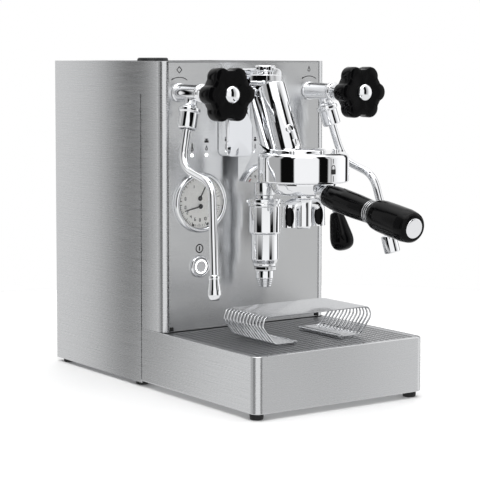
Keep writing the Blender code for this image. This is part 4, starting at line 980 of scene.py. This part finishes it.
@dataclass
class Portafilter:
    """The bowl with its basket, spout and handle; all of it turns in the bell."""

    droop: float = math.radians(9.4)
    radius: float = 0.035
    start: float = 0.043
    split: float = 0.1185
    end: float = 0.179
    chute: float = 0.0077
    mouth_half: tuple[float, float] = (0.0050, 0.0102)
    mouth_turn: float = math.radians(28)
    pocket_mm: float = 10.3

    def build(self) -> None:
        """Makes every piece of the portafilter."""
        dress(MILL_SHEET, "filter_basket")
        self.bowl()
        self.spout()
        # Black ovals on the spout give painted shade in its open mouths.
        self.mouths()
        self.handle_front()
        self.handle_grip()

    @property
    def spout_top(self) -> float:
        """Where the spout starts, just under the bowl."""
        return AT.bell_base - 0.0138

    def run_mm(self, start: float, end: float) -> float:
        """The length along the handle, in millimetres, between two distances from the group's axis."""
        return 1000 * (end - start) / math.cos(self.droop)

    def on_line(self, shape: Surface, distance: float) -> Surface:
        """A surface moved onto the handle's line, at a distance from the group's axis.

        Args:
            shape: the surface, turned about +Z.
            distance: how far in front of the group's axis it starts.

        Returns:
            The moved surface.
        """
        at = (0.0, AT.group_y - distance, AT.bell_base - 0.0048 - distance * math.tan(self.droop))
        return shape.placed(at, (0.0, -math.cos(self.droop), -math.sin(self.droop)))

    def bowl(self) -> None:
        """The bowl's turned wall, its two ears and the tapered neck towards the handle."""
        base, top = AT.bell_base - 0.0135, AT.bell_base + 0.0139
        r, rise = 1000 * self.radius, 27.4
        outline = [(r, rise), (r, 11), (r - 1.2, 6), (r - 4.2, 1.2), (r - 7.5, 0), (6, 0)]
        outline += [(6, 3), (29.7, 3), (29.7, rise)]
        parts = [turned(mm(*outline), 96, 0.0014, 4).placed((0, AT.group_y, base))]
        for facing in (0, 180):
            outer = arc((0, AT.group_y), 0.0399, facing - 14, facing + 14, 9)
            inner = arc((0, AT.group_y), self.radius - 0.003, facing + 14, facing - 14, 9)
            parts.append(extruded(np.concatenate([outer, inner]), AT.bell_base + 0.0075, top - 0.0003, 0.0006))
        begin = self.radius - 0.002
        n = self.run_mm(begin, self.start) - 0.3
        neck = mm((0, 0), (9, 0), (7.8, n * 0.4), (7.8, n - 3.5), (10.2, n - 2.5), (10.2, n), (0, n))
        parts.append(self.on_line(turned(neck, 48, 0.0008), begin))
        shown("portafilter_bowl", merged(*parts), CHROME, "portafilter", "portafilter_body")

    def spout(self) -> None:
        """A hub and two chutes, each an eased tube that widens towards its end."""
        y, z = AT.group_y, self.spout_top
        hub = mm((0, 0), (12.3, 0), (12.3, 3.5), (9.5, 4.8), (9, 8), (9, 33.5), (8, 35.5), (0, 35.5)) * DOWNWARD
        parts = [turned(hub, 48, 0.0008).placed((0, y, z))]
        for side in (-1, 1):
            corners = mm((side * 3, 0, -8), (side * 18.8, 0, -10.5), (side * 19.2, 0, -33.5)) + (0, y, z)
            path = softened(corners, 0.010, 12)
            widening = np.minimum(np.linspace(0, 2.2, len(path)), 1)
            parts.append(swept(path, 0.0060 + (self.chute - 0.0060) * widening, (0, 1, 0), 28))
        shown("twin_spout", merged(*parts), CHROME, "portafilter", "spout")

    def mouths(self) -> None:
        """Painted shade in the open mouths: thin black gloss ovals wrapped round each chute where each mouth's inside
        is in shade; x = r sin s and y = -r cos s.
        """
        angle = circle(40)
        width, height = self.mouth_half
        mouths = []
        for side in (-1, 1):
            rings = []
            for share, proud in ((1.0, -0.0008), (0.99, 0.0003), (0.92, 0.0004), (0.60, 0.0003), (0.30, 0.0003)):
                swing = width * share * np.cos(angle) / self.chute - self.mouth_turn
                x = side * 0.0191 + (self.chute + proud) * np.sin(swing)
                y = AT.group_y - (self.chute + proud) * np.cos(swing)
                z = self.spout_top - 0.0222 + height * share * np.sin(angle)
                rings.append(np.stack([x, y, z], axis=1))
            mouths.append(lofted(rings))
        # Painted shade: black gloss sheets stand where the mouths' insides are only in shade.
        shown("spout_mouths", merged(*mouths), PHENOLIC, "portafilter")

    def handle_front(self) -> None:
        """The front piece with its groove, and the steel rings at both of its ends."""
        n = self.run_mm(self.start, self.split) - 0.3
        front = [(0, 0), (10, 0), (11.2, 1.2), (12.6, 12), (13.1, 24), (12.8, n * 0.62), (12, n - 10), (11.7, n - 7.5)]
        front += [(11, n - 7), (11, n - 5.5), (11.8, n - 5), (11.8, n), (0, n)]
        piece = self.on_line(turned(mm(*front), 64, 0.0007), self.start)
        shown("handle_front_piece", piece, PHENOLIC, "portafilter", "handle_front")
        first = turned(mm((10, -0.7), (11.4, -0.7), (11.4, 1.1), (10, 1.1)), 64, 0.0003)
        ring = turned(mm((11, 0), (12.2, 0), (12.2, 1.1), (11, 1.1)), 64, 0.0003)
        rings = [self.on_line(ring, self.split - back) for back in (0.0068, 0.0042, 0.0016)]
        shown("handle_rings", merged(self.on_line(first, self.start), *rings), WIRE, "portafilter")

    def handle_grip(self) -> None:
        """The grip with its pocket and the disc that closes it."""
        n, pocket = self.run_mm(self.split, self.end) - 1, self.pocket_mm
        grip = [(0, 0), (11.8, 0), (14, 2.5), (15.6, 7), (16.3, 14), (16.6, n * 0.5), (16.6, n * 0.8), (16.1, n - 8)]
        grip += [(15.4, n - 4.2), (15, n - 3.6), (15, n - 2.8), (14.6, n - 2.2), (13, n - 0.4), (12, n)]
        grip += [(pocket, n), (pocket, n - 3), (0, n - 3)]
        piece = self.on_line(turned(mm(*grip), 72, 0.0008), self.split)
        shown("handle_grip_piece", piece, PHENOLIC, "portafilter", "handle_grip")
        r, high = pocket - 1000 * GAP, n + 0.8
        disc = mm((0, n - 2.7), (r, n - 2.7), (r, high - 0.6), (r - 0.8, high), (2, high - 0.2), (0, high - 0.2))
        piece = self.on_line(turned(disc, 64, 0.0003), self.split)
        shown("handle_disc", piece, CHROME, "portafilter", "handle_end_cap")


@dataclass
class ValveSide:
    """A valve with its knob, ball joint and wand, on the left for steam or on the right for water.

    Args:
        word: steam or water.
        side: -1 on the left, 1 on the right.
        end: where the wand's tip ends: across, in reach from the front plane, and up.
        tip_node: the CAD node of the tip.
        tip_mm: how long the tip is.
    """

    word: str
    side: int
    end: tuple[float, float, float]
    tip_node: str
    tip_mm: float
    knob_back: float = 0.0812
    knob_mm: float = 17
    lobes_at: float = 0.0205
    lobe: float = 0.0099
    ball: float = 0.0060
    ball_drop: float = 0.0275
    tube: float = 0.0044
    ball_at: np.ndarray = field(init=False)
    down: np.ndarray = field(init=False)

    def __post_init__(self) -> None:
        """Takes the ball's place and the joint's direction from the record."""
        swivel = joint(f"{self.word}_wand_swivel")
        self.ball_at = np.array(swivel["pos_m"])
        self.down = np.array(swivel["axis"]) / np.linalg.norm(swivel["axis"])

    @property
    def root(self) -> np.ndarray:
        """Where the joint's line meets the stem's."""
        return self.ball_at - self.down * self.ball_drop

    def build(self) -> None:
        """Makes the valve, the knob, the joint and the wand."""
        self.valve()
        self.knob()
        self.ball_joint()
        self.wand()

    def on_stem(self, reach: float, rise: float = 0.0) -> tuple[float, float, float]:
        """A place on the stem's line or above it, measured forward from the front plane."""
        return AT.ahead(self.side * AT.valve_x, reach, AT.valve_z + rise)

    def valve(self) -> None:
        """The stem's turned rings, a small bolt on it and the neck of the joint below."""
        steps = [(0, -12), (8, -12), (8, -0.4), (10.4, -0.4), (10.4, 1.2), (9.2, 2), (9.2, 39.5), (10, 40.5)]
        steps += [(10.2, 44.5), (8, 45.5), (7.7, 59.5), (10, 61), (10.4, 64), (10, 72.5), (7.4, 76), (0, 76)]
        stem = turned(mm(*steps), 64, 0.0007).placed(self.on_stem(0), FORWARD)
        bolt = turned(mm((0, 0), (2.4, 0), (2.4, 2.6), (1.2, 2.6), (1.2, 1.4), (0, 1.4)), 20, 0.0003)
        bolt = bolt.placed(self.on_stem(0.0675, 0.0098))
        neck = mm((0, 4), (7.2, 4), (6.8, 10.5), (7.2, 13.5), (9, 15), (9, 16.4), (0, 16.4))
        neck = turned(neck, 48, 0.0006).placed(self.root, self.down)
        shown(f"{self.word}_stem", merged(stem, bolt, neck), CHROME, "machine", f"{self.word}_valve")

    def knob(self) -> None:
        """Six lobes: arcs of 144 degrees about points on a circle, eased into each other, over a rounded edge."""
        body = f"{self.word}_knob"
        centres = arc((0, 0), self.lobes_at, 0, 300, 6)
        lobes = [arc(at, self.lobe, 60 * k - 72, 60 * k + 72, 15) for k, at in enumerate(centres)]
        outline = softened(np.concatenate(lobes), 0.0012, 2, closed=True)
        n = self.knob_mm
        levels = [(0.30, 0), (0.60, 0), (0.90, 0), (0.955, 0.5), (0.985, 1.4), (1.0, 3), (1.0, n - 3.6)]
        levels += [(0.990, n - 1.8), (0.965, n - 0.6), (0.92, n), (0.70, n), (0.50, n - 0.3), (0.30, n - 0.6)]
        star = lofted([np.column_stack([outline * share, np.full(len(outline), z / 1000)]) for share, z in levels])
        spindle = turned(mm((0, -4.3), (7.2, -4.3), (7.8, 0), (7.8, 3), (0, 3)), 40, 0.0004)
        at = self.on_stem(self.knob_back)
        shown(f"{self.word}_star", merged(star, spindle).placed(at, FORWARD), PHENOLIC, body, body)
        dome = mm((0, 0), (9.2, 0), (9.2, 2.2), (8.8, 3.4), (7.2, 5), (4.5, 6.2), (2, 6.7), (0, 6.8)) + mm(0, n - 0.7)
        dome = turned(dome, 56, 0.0016, 4).placed(at, FORWARD)
        shown(f"{self.word}_dome", dome, CHROME, body, f"{body}_cap")

    def ball_joint(self) -> None:
        """The nut's collar, its barrel and its open mouth, about the joint's line."""
        nut = [(8.6, -10.7), (11.2, -10.7), (11.8, -9.8), (11.8, -7), (10.8, -6), (10, -5.2), (10, 10.8), (9, 12)]
        nut = turned(mm(*nut, (7, 12), (7, 6.3), (8.6, 6.3)), 56).placed(self.ball_at, self.down)
        shown(f"{self.word}_nut", nut, CHROME, "machine", f"{self.word}_joint_nut")
        dress(PTFE, f"{self.word}_joint_seat")

    def wand(self) -> None:
        """The ball, the bent tube and the tip that is screwed on its end."""
        body = f"{self.word}_wand"
        first = self.root + self.down * 0.080
        second = np.array(AT.ahead(self.side * 0.1065, 0.091, AT.valve_z - 0.091))
        end = np.array(AT.ahead(*self.end))
        run = (end - second) / np.linalg.norm(end - second)
        tip = end - run * self.tip_mm / 1000
        path = softened([self.ball_at, first, second, tip - run * GAP], [0.020, 0.016], 14)
        ball = arc((0, 0), self.ball, -90, 180 / 3.2, 14)
        ball[0, 0] = 0.0
        ball = turned(np.concatenate([ball, [(0, ball[-1, 1])]]), 40, 0).placed(self.ball_at, self.down)
        shown(f"{self.word}_tube", merged(swept(path, self.tube, RIGHT, 24), ball), CHROME, body, body)
        outlet = turned(mm(*self.tip_steps()), 48, 0.0006).placed(tip, run)
        shown(f"{self.word}_outlet", outlet, CHROME, body, self.tip_node)

    def tip_steps(self) -> list[tuple[float, float]]:
        """The tip's profile: a slim pear for steam, an open cup for water.

        Returns:
            (radius, height) in millimetres.
        """
        n = self.tip_mm
        if self.word == "steam":
            steps = [(0, 0), (5.2, 0), (5.8, 1.2), (5.8, 3.5), (5.2, 4.5), (6.8, n - 9), (6.8, n - 4.5)]
            return steps + [(5, n - 1), (3.6, n), (0, n)]
        steps = [(0, 0), (7.6, 0), (8.8, 1.2), (8.9, n * 0.5), (8.9, n - 1), (8.2, n), (6.6, n)]
        return steps + [(6.6, n - 4), (0, n - 4)]


# A seven-bar figure: which bars each digit lights, and where each bar starts and ends.
DIGITS = {
    "0": "abcdef", "1": "bc", "2": "abged", "3": "abgcd", "4": "fgbc", "5": "afgcd", "6": "afgedc", "8": "abcdefg",
}  # fmt: skip
BARS = {
    "a": ((0, 1), (0.5, 1)),
    "b": ((0.5, 1), (0.5, 0.5)),
    "c": ((0.5, 0.5), (0.5, 0)),
    "d": ((0, 0), (0.5, 0)),
    "e": ((0, 0), (0, 0.5)),
    "f": ((0, 0.5), (0, 1)),
    "g": ((0, 0.5), (0.5, 0.5)),
}


@dataclass
class Controls:
    """The gauge, the button, the lights and the small printed signs, all on the front panel."""

    window_mm: float = 28
    ink: float = 0.00012
    numerals: float = 0.0031
    numerals_at: float = 0.0192
    power_sign_rise: float = 0.0195
    lock_bearing: float = -87
    gauge: Vector = field(init=False)
    switch: Vector = field(init=False)

    def __post_init__(self) -> None:
        """Takes the gauge's and the button's places from the frame."""
        self.gauge, self.switch = middle("gauge_housing"), middle("power_button")

    def build(self) -> None:
        """Makes the gauge, the button, the lights and the signs."""
        bezel = [(0, -30), (29.5, -30), (29.5, -0.5), (33, -0.5), (33, 2.4), (32.2, 4.2), (30.5, 5), (29, 4.7)]
        bezel = turned(mm(*bezel, (28.1, 3.6), (self.window_mm, -1.5), (0, -1.5)), 96, 0.0007)
        bezel = bezel.placed(AT.ahead(self.gauge.x, 0, self.gauge.z), FORWARD)
        shown("gauge_bezel", bezel, CHROME, "machine", "gauge_housing")
        self.dial()
        self.pointer("boiler", 0.0043, 61.3, 0.0163, 0.0006)
        self.pointer("pump", -0.0043, 192, 0.0207, 0.0016)
        self.button()
        self.lights()
        self.signs()
        self.bumpers()
        self.lock()

    def mark(
        self, radius: float, degrees: float, length: float, width: float, at: tuple[float, float] = (0, 0)
    ) -> Surface:
        """A printed stroke that runs out from a radius at an angle about a point of the dial.

        Args:
            radius: where it starts.
            degrees: its angle, anticlockwise from the right.
            length: how long it is.
            width: how wide it is.
            at: the point, from the dial's middle.

        Returns:
            The stroke.
        """
        end, half, a = radius + length, width / 2, math.radians(degrees)
        outline = np.array([(radius, -half), (end, -half), (end, half), (radius, half)])
        spin = np.array([[math.cos(a), -math.sin(a)], [math.sin(a), math.cos(a)]])
        points = outline @ spin.T + (self.gauge.x, self.gauge.z) + at
        face = AT.front_y + 0.0004
        return extruded(points, face - self.ink, face + self.ink / 2, self.ink / 4, "XZ")

    def numeral(self, text: str, at: np.ndarray, size: float) -> list[Surface]:
        """A number as flat strokes on a seven-bar figure.

        Args:
            text: its digits.
            at: its middle, from the dial's middle.
            size: how tall it is.

        Returns:
            The strokes.
        """
        strokes = []
        for k, letter in enumerate(text):
            corner = np.array([0.8 * k - 0.4 * len(text) + 0.15, -0.5])
            for bar in DIGITS[letter]:
                start, stop = (np.array(BARS[bar]) + corner) * size
                angle = math.degrees(math.atan2(stop[1] - start[1], stop[0] - start[0]))
                strokes.append(self.mark(0, angle, float(np.linalg.norm(stop - start)), size * 0.2, at + start))
        return strokes

    def dial(self) -> None:
        """The dial with two scales: the upper one for the boiler, the lower one for the pump."""
        dress(ENAMEL_WHITE, "gauge_dial")
        dress(GLASS, "gauge_glass")
        marks = [self.mark(0.0232, 180 + side * 5, 0.0040, 0.0009) for side in (-1, 1)]
        for side, count, group in ((-1, 21, 5), (1, 33, 4)):
            for k in range(1, count):
                start, length, width = (0.0242, 0.0022, 0.0004) if k % group else (0.0232, 0.0034, 0.0007)
                marks.append(self.mark(start, 180 + side * (5 + k * 170 / count), length, width))
        for side, top, step in ((-1, 3, 1), (1, 16, 2)):
            for number in range(0, top + 1, step):
                a = math.radians(180 + side * (14 + number * 152 / top))
                at = self.numerals_at * np.array([math.cos(a), math.sin(a)])
                marks += self.numeral(str(number), at, self.numerals)
        marks += [self.mark(0.0248, degrees, 0.0024, 0.0030) for degrees in (250, 293)]
        shown("dial_print", merged(*marks), INK_BLACK, "machine")
        zone = [self.mark(0.0205, 45 - k * 5, 0.0016, 0.0020) for k in range(6)]
        shown("dial_red_zone", merged(*zone), INK_RED, "machine")

    def pointer(self, word: str, rise: float, degrees: float, length: float, reach: float) -> None:
        """A tapered needle on a flat hub.

        Args:
            word: boiler or pump.
            rise: its hub's height over the dial's middle.
            degrees: its angle at rest, anticlockwise from the right.
            length: from the hub's middle to its tip.
            reach: its distance in front of the front plane.
        """
        hub = turned(mm((0, -0.4), (2.7, -0.4), (2.7, 0.1), (0, 0.1)), 32, 0.0001)
        hub = hub.placed(AT.ahead(self.gauge.x, reach, self.gauge.z + rise), FORWARD)
        a, y = math.radians(degrees), AT.front_y - reach
        along, across = np.array([math.cos(a), math.sin(a)]), np.array([-math.sin(a), math.cos(a)])
        tip = along * length
        corners = np.array([across * -0.0008, tip - across * 0.0005, tip + across * 0.0005, across * 0.0008])
        blade = extruded(corners + (self.gauge.x, self.gauge.z + rise), y, y + 0.0004, 0.0001, "XZ")
        needle = f"{word}_needle"
        shown(f"{word}_pointer", merged(hub, blade), INK_BLACK, needle, needle)

    def button(self) -> None:
        """The bezel ring, the sprung button and its lit ring."""
        place = AT.ahead(self.switch.x, 0, self.switch.z)
        ring = mm((9.5, -18), (10.2, -18), (10.2, -0.5), (12, -0.5), (12, 1.4), (11.2, 2.6), (10, 3), (9.5, 2.4))
        ring = turned(ring, 64, 0.0004).placed(place, FORWARD)
        shown("button_ring", ring, CHROME, "machine", "power_button_bezel")
        cap = turned(mm((0, -12), (9.1, -12), (9.1, 1.8), (8.4, 2.6), (6.8, 2.7), (0, 2.1)), 64)
        shown("button_cap", cap.placed(place, FORWARD), BUTTON, "power_button", "power_button")
        lit = turned(mm((6.2, 1.8), (7.6, 2.2), (7.6, 2.9), (6.2, 2.8)), 64, 0.0002)
        shown("button_light", lit.placed(place, FORWARD), LAMP, "power_button")

    def lights(self) -> None:
        """Two small lit lenses."""
        for name in ("light_left", "light_right"):
            lens = turned(mm((0, -5), (1.6, -5), (1.6, -0.2), (1.1, 0.5), (0, 0.7)), 32, 0.0004)
            lens = lens.placed(AT.ahead(middle(name).x, 0, middle(name).z), FORWARD)
            shown(f"{name}_lens", lens, LAMP, "machine", name)

    def stroke(self, corners: Sequence, width: float, closed: bool = False, soft: float = 0.0008) -> Surface:
        """A printed line of even width on the panel, as a flattened tube along eased points in XZ.

        Args:
            corners: the points.
            width: how wide the line is.
            closed: it comes back to its first point.
            soft: how far its corners are eased.

        Returns:
            The line.
        """
        points = np.array(corners, float)
        if closed:
            points = np.concatenate([points, points[:1]])
        line = softened(points, soft, 4) if len(points) > 2 else points
        path = np.column_stack([line[:, 0], np.zeros(len(line)), line[:, 1]])
        tube = swept(path, width * 0.72, (0, 1, 0), 8)
        return Surface(tube.points * (1, 0.22, 1) + (0, AT.front_y + PANEL_STEP, 0), tube.faces)

    def drop(self, at: tuple[float, float], size: float) -> Surface:
        """A drop's outline: a circle drawn up to a point.

        Args:
            at: the circle's middle.
            size: about half of its height.

        Returns:
            The line.
        """
        circle_part = arc(at, 0.42 * size, 130, 410, 21)
        return self.stroke([*circle_part, (at[0], at[1] + size * 1.15), circle_part[0]], 0.0006, soft=0.0001)

    def loop(self, at: tuple[float, float], radius: float, width: float) -> Surface:
        """A printed circle."""
        return self.stroke(arc(at, radius, 0, 360, 33), width, soft=0.0001)

    def signs(self) -> None:
        """Signs for steam, water, temperature, tank and power, drawn from loops and strokes."""
        marks = []
        for side in (-1, 1):
            stem = (side * AT.valve_x, AT.valve_z)
            bow = arc((0, 0.0080), (0.0130, 0.0085), 40, 140, 33) + stem
            marks.append(self.stroke(bow, 0.0006, soft=0.0001))
            marks.append(self.stroke(mm((-9.9, 13.5), (-9, 15.3), (-7.2, 14.5)) + stem, 0.0006))
        top = AT.valve_z + 0.0245
        diamond = mm((-3.2, 0), (0, 3.4), (3.2, 0), (0, -3.4)) + (-AT.valve_x, top)
        marks.append(self.stroke(diamond, 0.0007, True, 0.0004))
        marks.append(self.drop((AT.valve_x, top - 0.001), 0.0036))
        left, right, z = middle("light_left").x, middle("light_right").x, middle("light_left").z
        marks.append(self.loop((left, z + 0.0062), 0.0014, 0.0007))
        marks.append(self.stroke(mm((0, 7.5), (0, 13)) + (left, z), 0.0011))
        marks.append(self.drop((right, z + 0.0065), 0.0030))
        tap = (((-2.6, 14.5), (2.6, 14.5), 1.8), ((0, 14.5), (0, 16.9), 1.1), ((-2, 17.1), (2, 17.1), 0.8))
        marks += [self.stroke(mm(start, end) + (right, z), width / 1000) for start, end, width in tap]
        power = (self.switch.x, self.switch.z + self.power_sign_rise)
        marks += [self.loop(power, 0.0044, 0.0009), self.stroke(mm((0, -2.4), (0, 2.4)) + power, 0.0011)]
        shown("panel_signs", merged(*marks), INK_BLACK, "machine")

    def bumpers(self) -> None:
        """The two small rubber blocks at the panel's lower corners."""
        low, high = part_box("front_panel")
        blocks = []
        for side in (-1, 1):
            left, right = sorted((side * (high.x - 0.0002), side * (high.x - 0.0052)))
            outline = rectangle(left, right, low.z + 0.0006, low.z + 0.0050, 0.0008, 3)
            blocks.append(extruded(outline, low.y - 0.0010, low.y - 0.0001, 0.0004, "XZ"))
        shown("panel_bumpers", merged(*blocks), RUBBER, "machine")

    def lock(self) -> None:
        """A padlock with a line above and below, drawn flat with its own X up and then laid on the bell."""
        bars = ((-4.2, 0.4, 2.6, 0.6, 3), (5.6, 9.8, 0.25, 0.1, 2), (-10.8, -5.6, 0.25, 0.1, 2))
        parts = []
        for low, high, half, radius, steps in bars:
            outline = rectangle(*mm(low, high, -half, half, radius), steps)
            parts.append(extruded(outline, -0.0002, 0.00012, 0.0001))
        bow = np.concatenate([mm((0, -1.8)), arc((0.0020, 0), (0.0020, 0.0018), -90, 90, 15), mm((0, 1.8))])
        bow = np.column_stack([bow, np.zeros(len(bow))])
        parts.insert(1, swept(bow, 0.00035, UP, 8).scaled(z=0.4))
        angle = math.radians(self.lock_bearing)
        outward = np.array([math.cos(angle), math.sin(angle), 0])
        centre = 0.0481 * outward + (0, AT.group_y, AT.bell_base + 0.0150)
        shape = merged(*parts).scaled(1.15, 1.15).placed(centre, outward, self.lock_bearing + 180)
        shown("lock_sign", shape, INK_BLACK, "machine")


def dress_inside() -> None:
    """Dresses what the cabinet hides: boiler, heating element and pump."""
    dress(COPPER, "boiler")
    dress(MILL_SHEET, "heating_element")
    dress(NYLON, "pump")


@dataclass
class Studio:
    """Floor, world, lamp and camera.

    Args:
        banners: a bearing in degrees from +X, and how bright the room is there.
    """

    camera_at: tuple[float, float, float] = (-1.056, -1.4835, 0.367)
    yaw: float = 34.53
    pitch: float = 4.28
    focal_px: float = 1670.0
    centre_px: tuple[float, float] = (232.0, 177.0)
    frame_px: float = 480.0
    floor_radius: float = 0.80
    ceiling: float = 2.3
    ceiling_from: tuple[float, float] = (0.72, 0.88)
    ground: float = 0.9
    ground_from: tuple[float, float] = (-0.19, -0.34)
    lamp_at: tuple[float, float, float] = (-0.5, -0.6, 1.8)
    lamp_side: float = 1.6
    lamp_watts: float = 9
    banners: tuple[tuple[float, float], ...] = (
        (-180, 0.004), (180, 0.004), (-152, 0.004), (-149, 1.05), (-89, 1.05), (-86.5, 0.004), (-64, 0.004),
        (-60.5, 0.68), (-57, 0.66), (-52, 0.42), (-49.5, 0.75), (-43, 0.90), (-32, 1.1), (-14, 1.2), (2, 1.2),
        (6, 0.02), (18, 0.02), (22, 1.0), (90, 0.90), (106, 0.86), (114, 0.70), (116.5, 0.30), (118.5, 0.0),
        (122.6, 0.0), (124.6, 0.95), (131, 0.95), (138, 0.45), (171, 0.45), (175, 0.004),
    )  # fmt: skip

    def build(self) -> None:
        """Sets up the room and the camera."""
        self.camera()
        self.floor()
        self.world()
        self.lamp()

    def camera(self) -> None:
        """A long lens a little above the machine's top, turned a third of a right angle."""
        data = bpy.data.cameras.new("camera")
        data.sensor_width = 36.0
        data.lens = self.focal_px * data.sensor_width / self.frame_px
        data.shift_x = (self.frame_px / 2 - self.centre_px[0]) / self.frame_px
        data.shift_y = (self.centre_px[1] - self.frame_px / 2) / self.frame_px
        camera = bpy.data.objects.new("camera", data)
        camera.location = self.camera_at
        camera.rotation_euler = (math.radians(90 - self.pitch), 0, math.radians(-self.yaw))
        bpy.context.scene.collection.objects.link(camera)
        bpy.context.scene.camera = camera

    def floor(self) -> None:
        """A wide round pale floor just under the feet, left out of mirror reflections."""
        angle = circle(128)
        disc = np.stack([np.cos(angle) * self.floor_radius, np.sin(angle) * self.floor_radius, 0 * angle], axis=1)
        mesh = bpy.data.meshes.new("floor")
        mesh.from_pydata(disc.tolist(), [], [tuple(range(len(disc)))])
        mesh.materials.append(FLOOR.material())
        floor = bpy.data.objects.new("floor", mesh)
        bpy.context.scene.collection.objects.link(floor)
        floor.visible_glossy = False

    def world(self) -> None:
        """A round room of pale and black banners under a white ceiling, so that polished metal has something to show.

        A direction's bearing picks the banner, and its height fades it into the ceiling or the ground.
        """
        world = bpy.data.worlds.new("studio")
        world.use_nodes = True
        bpy.context.scene.world = world
        tree = world.node_tree
        place = add_node(tree, "ShaderNodeTexCoord")
        parts = add_node(tree, "ShaderNodeSeparateXYZ", {0: place.outputs["Generated"]})
        bearing = add_node(tree, "ShaderNodeMath", {0: parts.outputs["Y"], 1: parts.outputs["X"]}, operation="ARCTAN2")
        whole_turn = {"Value": bearing.outputs[0], "From Min": -math.pi, "From Max": math.pi}
        share = add_node(tree, "ShaderNodeMapRange", whole_turn)
        ramp = add_node(tree, "ShaderNodeValToRGB", {"Fac": share.outputs[0]})
        stops = ramp.color_ramp.elements
        for k, (degrees, value) in enumerate(self.banners):
            stop = stops[k] if k < 2 else stops.new((degrees + 180) / 360)
            stop.position = (degrees + 180) / 360
            stop.color = (value, value, value, 1)
        room = ramp.outputs[0]
        for (start, end), grey in ((self.ceiling_from, self.ceiling), (self.ground_from, self.ground)):
            fade = {"Value": parts.outputs["Z"], "From Min": start, "From Max": end}
            fade = add_node(tree, "ShaderNodeMapRange", fade)
            room = {"Fac": fade.outputs[0], "Color1": room, "Color2": (grey, grey, grey, 1)}
            room = add_node(tree, "ShaderNodeMixRGB", room).outputs[0]
        path = add_node(tree, "ShaderNodeLightPath")
        seen = {"Fac": path.outputs["Is Camera Ray"], "Color1": room, "Color2": (1, 1, 1, 1)}
        seen = add_node(tree, "ShaderNodeMixRGB", seen)
        background = tree.nodes["Background"]
        tree.links.new(seen.outputs[0], background.inputs["Color"])
        background.inputs["Strength"].default_value = 1.0
        bpy.context.scene.view_settings.view_transform = "Standard"

    def lamp(self) -> None:
        """One broad soft lamp overhead that faces the middle of the floor."""
        data = bpy.data.lights.new("overhead", "AREA")
        data.shape, data.size, data.size_y, data.energy = "RECTANGLE", self.lamp_side, self.lamp_side, self.lamp_watts
        lamp = bpy.data.objects.new("overhead", data)
        lamp.location = self.lamp_at
        lamp.rotation_euler = (-Vector(self.lamp_at)).to_track_quat("-Z", "Y").to_euler()
        bpy.context.scene.collection.objects.link(lamp)


def main() -> None:
    """Builds every sub-assembly in order."""
    logging.basicConfig(level=logging.INFO, format="%(message)s")
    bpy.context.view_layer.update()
    Studio().build()
    Cabinet().build()
    DripTray().build()
    BrewGroup().build()
    Lever().build()
    Portafilter().build()
    ValveSide("steam", -1, (-0.1250, 0.1234, 0.1176), "steam_tip", 25).build()
    ValveSide("water", 1, (0.1205, 0.1075, 0.1478), "water_nozzle", 20).build()
    Controls().build()
    dress_inside()
    bpy.context.view_layer.update()


if __name__ == "__main__":
    main()
